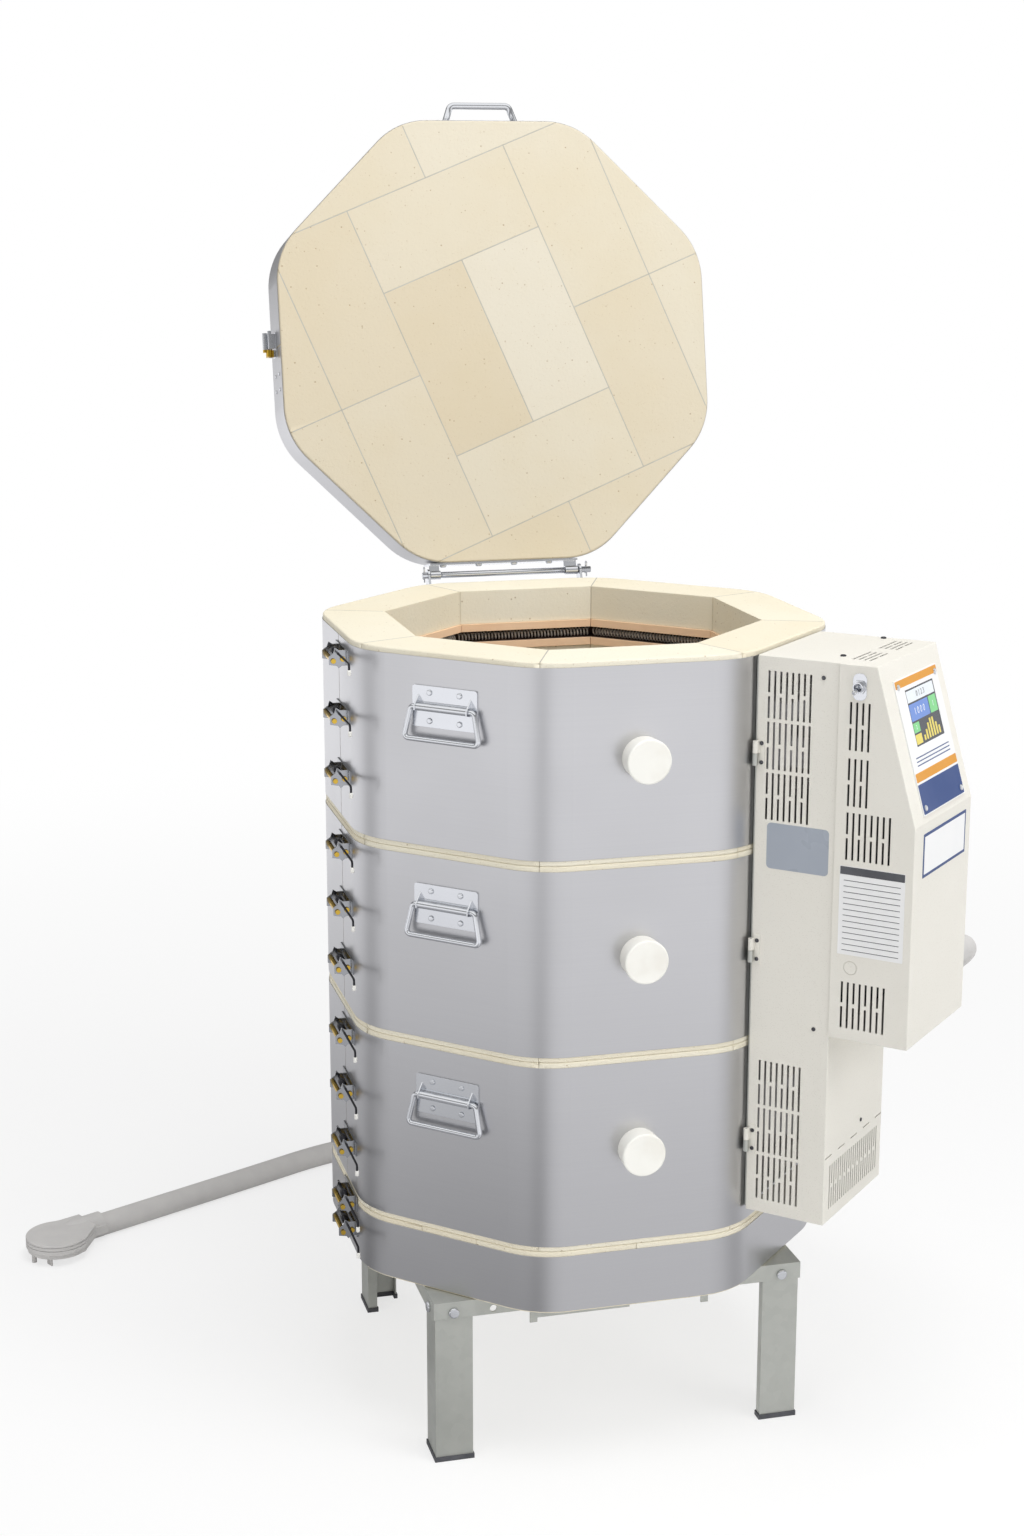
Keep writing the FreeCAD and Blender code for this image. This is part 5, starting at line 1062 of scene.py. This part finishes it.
def panel_face():
    """Printed face of the touch panel: plain bands of colour over and under a lit screen."""
    face = -PANEL_THICK
    t0, t1 = PANEL_T[0] + PANEL_MARGIN, PANEL_T[1] - PANEL_MARGIN
    top, low = PANEL_DOWN[0] + PANEL_MARGIN, PANEL_DOWN[1] - PANEL_MARGIN
    amber = [
        panel_tile("band", (t0, t1), (top, top + 8.5 * MM), face),
        panel_tile("band", (t0, t1), (low - 46 * MM, low - 36 * MM), face),
    ]
    on_panel(amber, "panel_amber_bands", AMBER_FILM)
    blue = [panel_tile("band", (t0, t1), (low - 33.5 * MM, low), face)]
    for step in range(3):
        start = low - (62 - 4.2 * step) * MM
        line_t = (t0 + 12 * MM, t1 - 12 * MM)
        blue.append(panel_tile("line", line_t, (start, start + 1.2 * MM), face, 0.5 * MM))
    on_panel(blue, "panel_blue_bands", BLUE_FILM)
    ground = SCREEN_RECESS - PANEL_THICK
    s0, s1 = SCREEN_T
    d0, d1 = SCREEN_DOWN
    left, right = s0 + TILE_MARGIN, s1 - TILE_MARGIN
    on_panel([panel_tile("ground", (s0, s1), (d0, d1), ground)], "screen_ground", SCREEN_DARK)
    lit = ground - FILM_THICK
    head = panel_tile("head", (left, right), (d0 + TILE_MARGIN, d0 + 15 * MM), lit)
    on_panel([head], "screen_head", SCREEN_PALE)
    middle = panel_tile("middle", (left, s1 - 26 * MM), (d0 + 17 * MM, d0 + 36 * MM), lit)
    on_panel([middle], "screen_blue", SCREEN_BLUE)
    greens = [
        panel_tile("key", (s1 - 24 * MM, right), (d0 + 17 * MM, d0 + 36 * MM), lit),
        panel_tile("key", (left, s0 + 20 * MM), (d1 - 26 * MM, d1 - 15 * MM), lit),
    ]
    on_panel(greens, "screen_green", SCREEN_GREEN)
    on_panel([panel_tile("key", (left, s0 + 20 * MM), (d1 - 13 * MM, d1 - TILE_MARGIN), lit)],
             "screen_yellow", SCREEN_YELLOW)
    bars = []
    for step, height in enumerate(BAR_HEIGHTS):
        start = s0 + 26 * MM + BAR_PITCH * step
        bar_down = (d1 - (3 + height) * MM, d1 - 3 * MM)
        bars.append(panel_tile("bar", (start, start + BAR_WIDTH), bar_down, lit, 0.4 * MM))
    on_panel(bars, "screen_bars", SCREEN_YELLOW)
    ink = lit - FILM_THICK
    middle_t = (s0 + s1) / 2
    dark_figures = [figures("figures", "0 1 2 3", 9 * MM, middle_t, ink, -(d0 + 8.5 * MM))]
    on_panel(dark_figures, "screen_dark_figures", BLACK_PLASTIC)
    pale_figures = [
        figures("figures", "1 0 0 0", 11 * MM, s0 + 30 * MM, ink, -(d0 + 26.5 * MM)),
        figures("figures", "1", 9 * MM, s1 - 13 * MM, ink, -(d0 + 26.5 * MM)),
        figures("figures", "2", 7 * MM, s0 + 11 * MM, ink, -(d1 - 20.5 * MM)),
    ]
    on_panel(pale_figures, "screen_pale_figures", SCREEN_PALE)


def plate(name, across, heights, back, thick, radius, segments=5):
    """A bare plate facing front, its back on a surface at depth back."""
    low = (across[0], back - thick, heights[0])
    high = (across[1], back, heights[1])
    return rounded_plate(name, low, high, radius, segments)


def inset(span, margin):
    return span[0] + margin, span[1] - margin


def on_housing(piece, matrix, material):
    finished(place(smooth(piece), matrix), material, "control_box")


def bare_plates():
    """Plates without words: a bordered one, a grey one and a ruled card."""
    front = -HOUSING_FRONT_N
    on_housing(plate("plate_border", PLATE_T, PLATE_Z, front, PLATE_THICK, 1 * MM), TO_BOX, BLUE_FILM)
    field = plate("plate_field", inset(PLATE_T, PLATE_BORDER), inset(PLATE_Z, PLATE_BORDER),
                  front - PLATE_THICK, FILM_THICK, 0.6 * MM)
    on_housing(field, TO_BOX, WHITE_FILM)
    label = plate("grey_label", LABEL_N, LABEL_Z, COVER_SIDE_T, LABEL_THICK, 5 * MM)
    on_housing(label, TO_BOX_SIDE, LABEL_GREY)
    card = plate("ruled_card", CARD_N, CARD_Z, HOUSING_SIDE_T, LABEL_THICK, 1 * MM)
    on_housing(card, TO_BOX_SIDE, WHITE_FILM)
    card_face = HOUSING_SIDE_T - LABEL_THICK
    rules = []
    for step in range(CARD_RULES):
        z = CARD_Z[0] + RULE_MARGIN + RULE_PITCH * step
        rules.append(plate("rule", inset(CARD_N, RULE_MARGIN), (z, z + RULE_WIDTH),
                           card_face, FILM_THICK, 0.2 * MM, 2))
    head_top = CARD_Z[1] - HEAD_MARGIN
    rules.append(plate("rule", inset(CARD_N, HEAD_MARGIN), (head_top - CARD_HEAD, head_top),
                       card_face, FILM_THICK, 0.5 * MM, 2))
    on_housing(joined("card_rules", rules), TO_BOX_SIDE, CAP_PLASTIC)


# Clamp rods

def rod_tips():
    """A white cap on the bent end of each clamp rod."""
    for index in range(11):
        node = "clamp_rod_%d" % (index + 1)
        low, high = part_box(node)
        bpy.ops.object.select_all(action="DESELECT")
        bpy.ops.mesh.primitive_cylinder_add(
            vertices=20, radius=TIP_RADIUS, depth=TIP_LENGTH,
            location=((low.x + high.x) / 2, low.y + ROD_RADIUS, low.z + TIP_RISE))
        cap = settle(bpy.context.active_object)
        cap.name = "rod_tip_%d" % (index + 1)
        softened(cap, TIP_ROUNDING, 3)
        finished(cap, TIP_WHITE, node)


# Power cord

def on_box(n, t, z):
    """A point given in millimetres by its distance out and along the box's face."""
    x = n * math.sin(BOX_FACE) + t * math.cos(BOX_FACE)
    y = -n * math.cos(BOX_FACE) + t * math.sin(BOX_FACE)
    return (x, y, z)


# The route's points are those of the CAD model, in millimetres
CORD_ROUTE = [
    on_box(437, 107, 577),
    on_box(437, 147, 577),
    on_box(437, 222, 560),
    on_box(400, 247, 524),
    on_box(345, 274, 481),
    (413, 50, 392),
    (394, 165, 286),
    (357, 285, 176),
    (298, 400, 82),
    (212, 508, 27),
    (110, 612, 16),
    (-8, 694, 16),
    (-140, 727, 16),
    (-352, 617, 16),
    (-550, 519, 16),
]


def power_cord():
    """Heavy grey cord from the strain relief down behind the kiln and along the floor to its plug."""
    points = [Vector(point) * MM for point in CORD_ROUTE]
    curve = bpy.data.curves.new("cord_line", "CURVE")
    curve.dimensions = "3D"
    curve.resolution_u = 16
    spline = curve.splines.new("NURBS")
    spline.points.add(len(points) - 1)
    for place_on_curve, point in zip(spline.points, points):
        place_on_curve.co = (*point, 1.0)
    spline.order_u = 3
    spline.use_endpoint_u = True
    line = bpy.data.objects.new("cord_line", curve)
    bpy.context.scene.collection.objects.link(line)
    path = [vertex.co.copy() for vertex in bpy.data.meshes.new_from_object(line).vertices]
    curve.bevel_depth = CORD_RADIUS
    curve.bevel_resolution = 7
    curve.use_fill_caps = True
    bpy.context.view_layer.update()
    mesh = bpy.data.meshes.new_from_object(line.evaluated_get(bpy.context.evaluated_depsgraph_get()))
    bpy.data.objects.remove(line)
    cord = bpy.data.objects.new("cord", mesh)
    bpy.context.scene.collection.objects.link(cord)
    smooth(cord, 50.0)
    cord.data.materials.clear()
    cord.data.materials.append(SHEATH)
    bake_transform(cord)
    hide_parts("power_cord")


# Camera, floor and light

FLOOR_WHITE = 0.7
WORLD_LIGHT = 0.44

# Darker directions of the floor in mirrored light: middle and width in degrees, and depth
FLOOR_DIPS = ((-26, 14, 0.4), (-104, 22, 0.5), (58, 24, 0.35))

CAMERA_PLACE = (-0.7878, -2.7265, 1.4496)
CAMERA_YAW = math.radians(14.68)
CAMERA_PITCH = math.radians(13.33)
CAMERA_LENS = 56.12


def camera():
    data = bpy.data.cameras.new("camera")
    data.lens = CAMERA_LENS
    data.sensor_width = 36.0
    view = bpy.data.objects.new("camera", data)
    view.location = CAMERA_PLACE
    view.rotation_euler = (math.radians(90) - CAMERA_PITCH, 0, -CAMERA_YAW)
    bpy.context.scene.collection.objects.link(view)
    bpy.context.scene.camera = view


def any_ray(tree, *kinds):
    """1 for the rays of these kinds, and 0 for the rest."""
    path = tree.nodes.new("ShaderNodeLightPath")
    share = path.outputs[kinds[0]]
    for kind in kinds[1:]:
        share = maths(tree, "MAXIMUM", share, path.outputs[kind])
    return share


def dip(tree, angle, centre, width, depth):
    """A factor that falls by a share of depth round one direction, given in degrees."""
    away = maths(tree, "ABSOLUTE", maths(tree, "SUBTRACT", angle, math.radians(centre)))
    return spread(tree, away, 0.0, math.radians(width), 1.0 - depth, 1.0)


def mirrored_floor(tree, where, reach):
    """Strength of the floor in mirrored light: darker near the kiln and on its left side."""
    x, y, z = axes(tree, where)
    angle = maths(tree, "ARCTAN2", x, maths(tree, "MULTIPLY", y, -1.0))
    near = spread(tree, angle, math.radians(-45), math.radians(0), 0.38, 0.72)
    strength = spread(tree, reach, 0.3, 3.4, near, 1.12)
    for centre, width, depth in FLOOR_DIPS:
        strength = maths(tree, "MULTIPLY", strength, dip(tree, angle, centre, width, depth))
    return strength


def floor():
    """Pale floor that fades to white far away and looks darker close by in mirrored light."""
    bpy.ops.object.select_all(action="DESELECT")
    bpy.ops.mesh.primitive_plane_add(size=60)
    ground = bpy.context.active_object
    ground.name = "floor"
    material = bpy.data.materials.new("pale_floor")
    material.use_nodes = True
    tree = material.node_tree
    tree.nodes.clear()
    output = tree.nodes.new("ShaderNodeOutputMaterial")
    matt = tree.nodes.new("ShaderNodeBsdfDiffuse")
    matt.inputs["Color"].default_value = (0.93, 0.93, 0.93, 1)
    where = object_place(tree)
    length = tree.nodes.new("ShaderNodeVectorMath")
    length.operation = "LENGTH"
    tree.links.new(where, length.inputs[0])
    reach = length.outputs["Value"]
    white = tree.nodes.new("ShaderNodeEmission")
    far = tree.nodes.new("ShaderNodeMixShader")
    whiter = spread(tree, reach, 0.8, 3.5, FLOOR_WHITE, 1.0)
    camera_far = maths(tree, "MULTIPLY", any_ray(tree, "Is Camera Ray"), whiter)
    tree.links.new(camera_far, far.inputs[0])
    tree.links.new(matt.outputs[0], far.inputs[1])
    tree.links.new(white.outputs[0], far.inputs[2])
    reflected = tree.nodes.new("ShaderNodeEmission")
    link(tree, mirrored_floor(tree, where, reach), reflected.inputs["Strength"])
    reflected.inputs["Color"].default_value = (0.98, 0.98, 1.0, 1)
    final = tree.nodes.new("ShaderNodeMixShader")
    tree.links.new(any_ray(tree, "Is Glossy Ray", "Is Transmission Ray"), final.inputs[0])
    tree.links.new(far.outputs[0], final.inputs[1])
    tree.links.new(reflected.outputs[0], final.inputs[2])
    tree.links.new(final.outputs[0], output.inputs["Surface"])
    ground.data.materials.append(material)


def world():
    """Even white surroundings: white to the camera and in mirrored light, softer as a light."""
    surroundings = bpy.data.worlds.new("studio")
    surroundings.use_nodes = True
    bpy.context.scene.world = surroundings
    tree = surroundings.node_tree
    background = tree.nodes["Background"]
    background.inputs["Color"].default_value = (1, 1, 1, 1)
    x, y, z = axes(tree, tree.nodes.new("ShaderNodeTexCoord").outputs["Generated"])
    dark_back = spread(tree, y, 0.5, 0.9, 1.0, 0.36)
    over_horizon = spread(tree, z, 0.12, 0.3, 1.0, 0.3)
    overhead = spread(tree, z, 0.5, 0.72, 0.0, 0.8)
    level = maths(tree, "MULTIPLY", maths(tree, "ADD", over_horizon, overhead), dark_back)
    reflected = maths(tree, "MULTIPLY", any_ray(tree, "Is Glossy Ray", "Is Transmission Ray"), level)
    seen = maths(tree, "MAXIMUM", any_ray(tree, "Is Camera Ray"), reflected)
    matt_light = maths(tree, "MULTIPLY", any_ray(tree, "Is Diffuse Ray"), WORLD_LIGHT)
    link(tree, maths(tree, "MAXIMUM", seen, matt_light), background.inputs["Strength"])


def lamp(name, location, size, power):
    """A square soft light aimed at the middle of the kiln."""
    data = bpy.data.lights.new(name, "AREA")
    data.shape = "SQUARE"
    data.size = size
    data.energy = power
    light = bpy.data.objects.new(name, data)
    light.location = location
    light.rotation_euler = (Vector((0, 0, 0.7)) - Vector(location)).to_track_quat("-Z", "Y").to_euler()
    bpy.context.scene.collection.objects.link(light)
    light.visible_glossy = False


def lights():
    lamp("key", (2.8, -2.6, 2.4), 2.4, 52)
    lamp("fill", (-3.2, -2.4, 1.6), 2.4, 24)
    lamp("top", (0.3, -1.1, 4.3), 2.2, 98)


camera()
floor()
world()
lights()
power_cord()
dress_cad()
brickwork()
heating_coils()
round_pieces()
panel_face()
bare_plates()
rod_tips()

view_settings = bpy.context.scene.view_settings
view_settings.view_transform = "Standard"
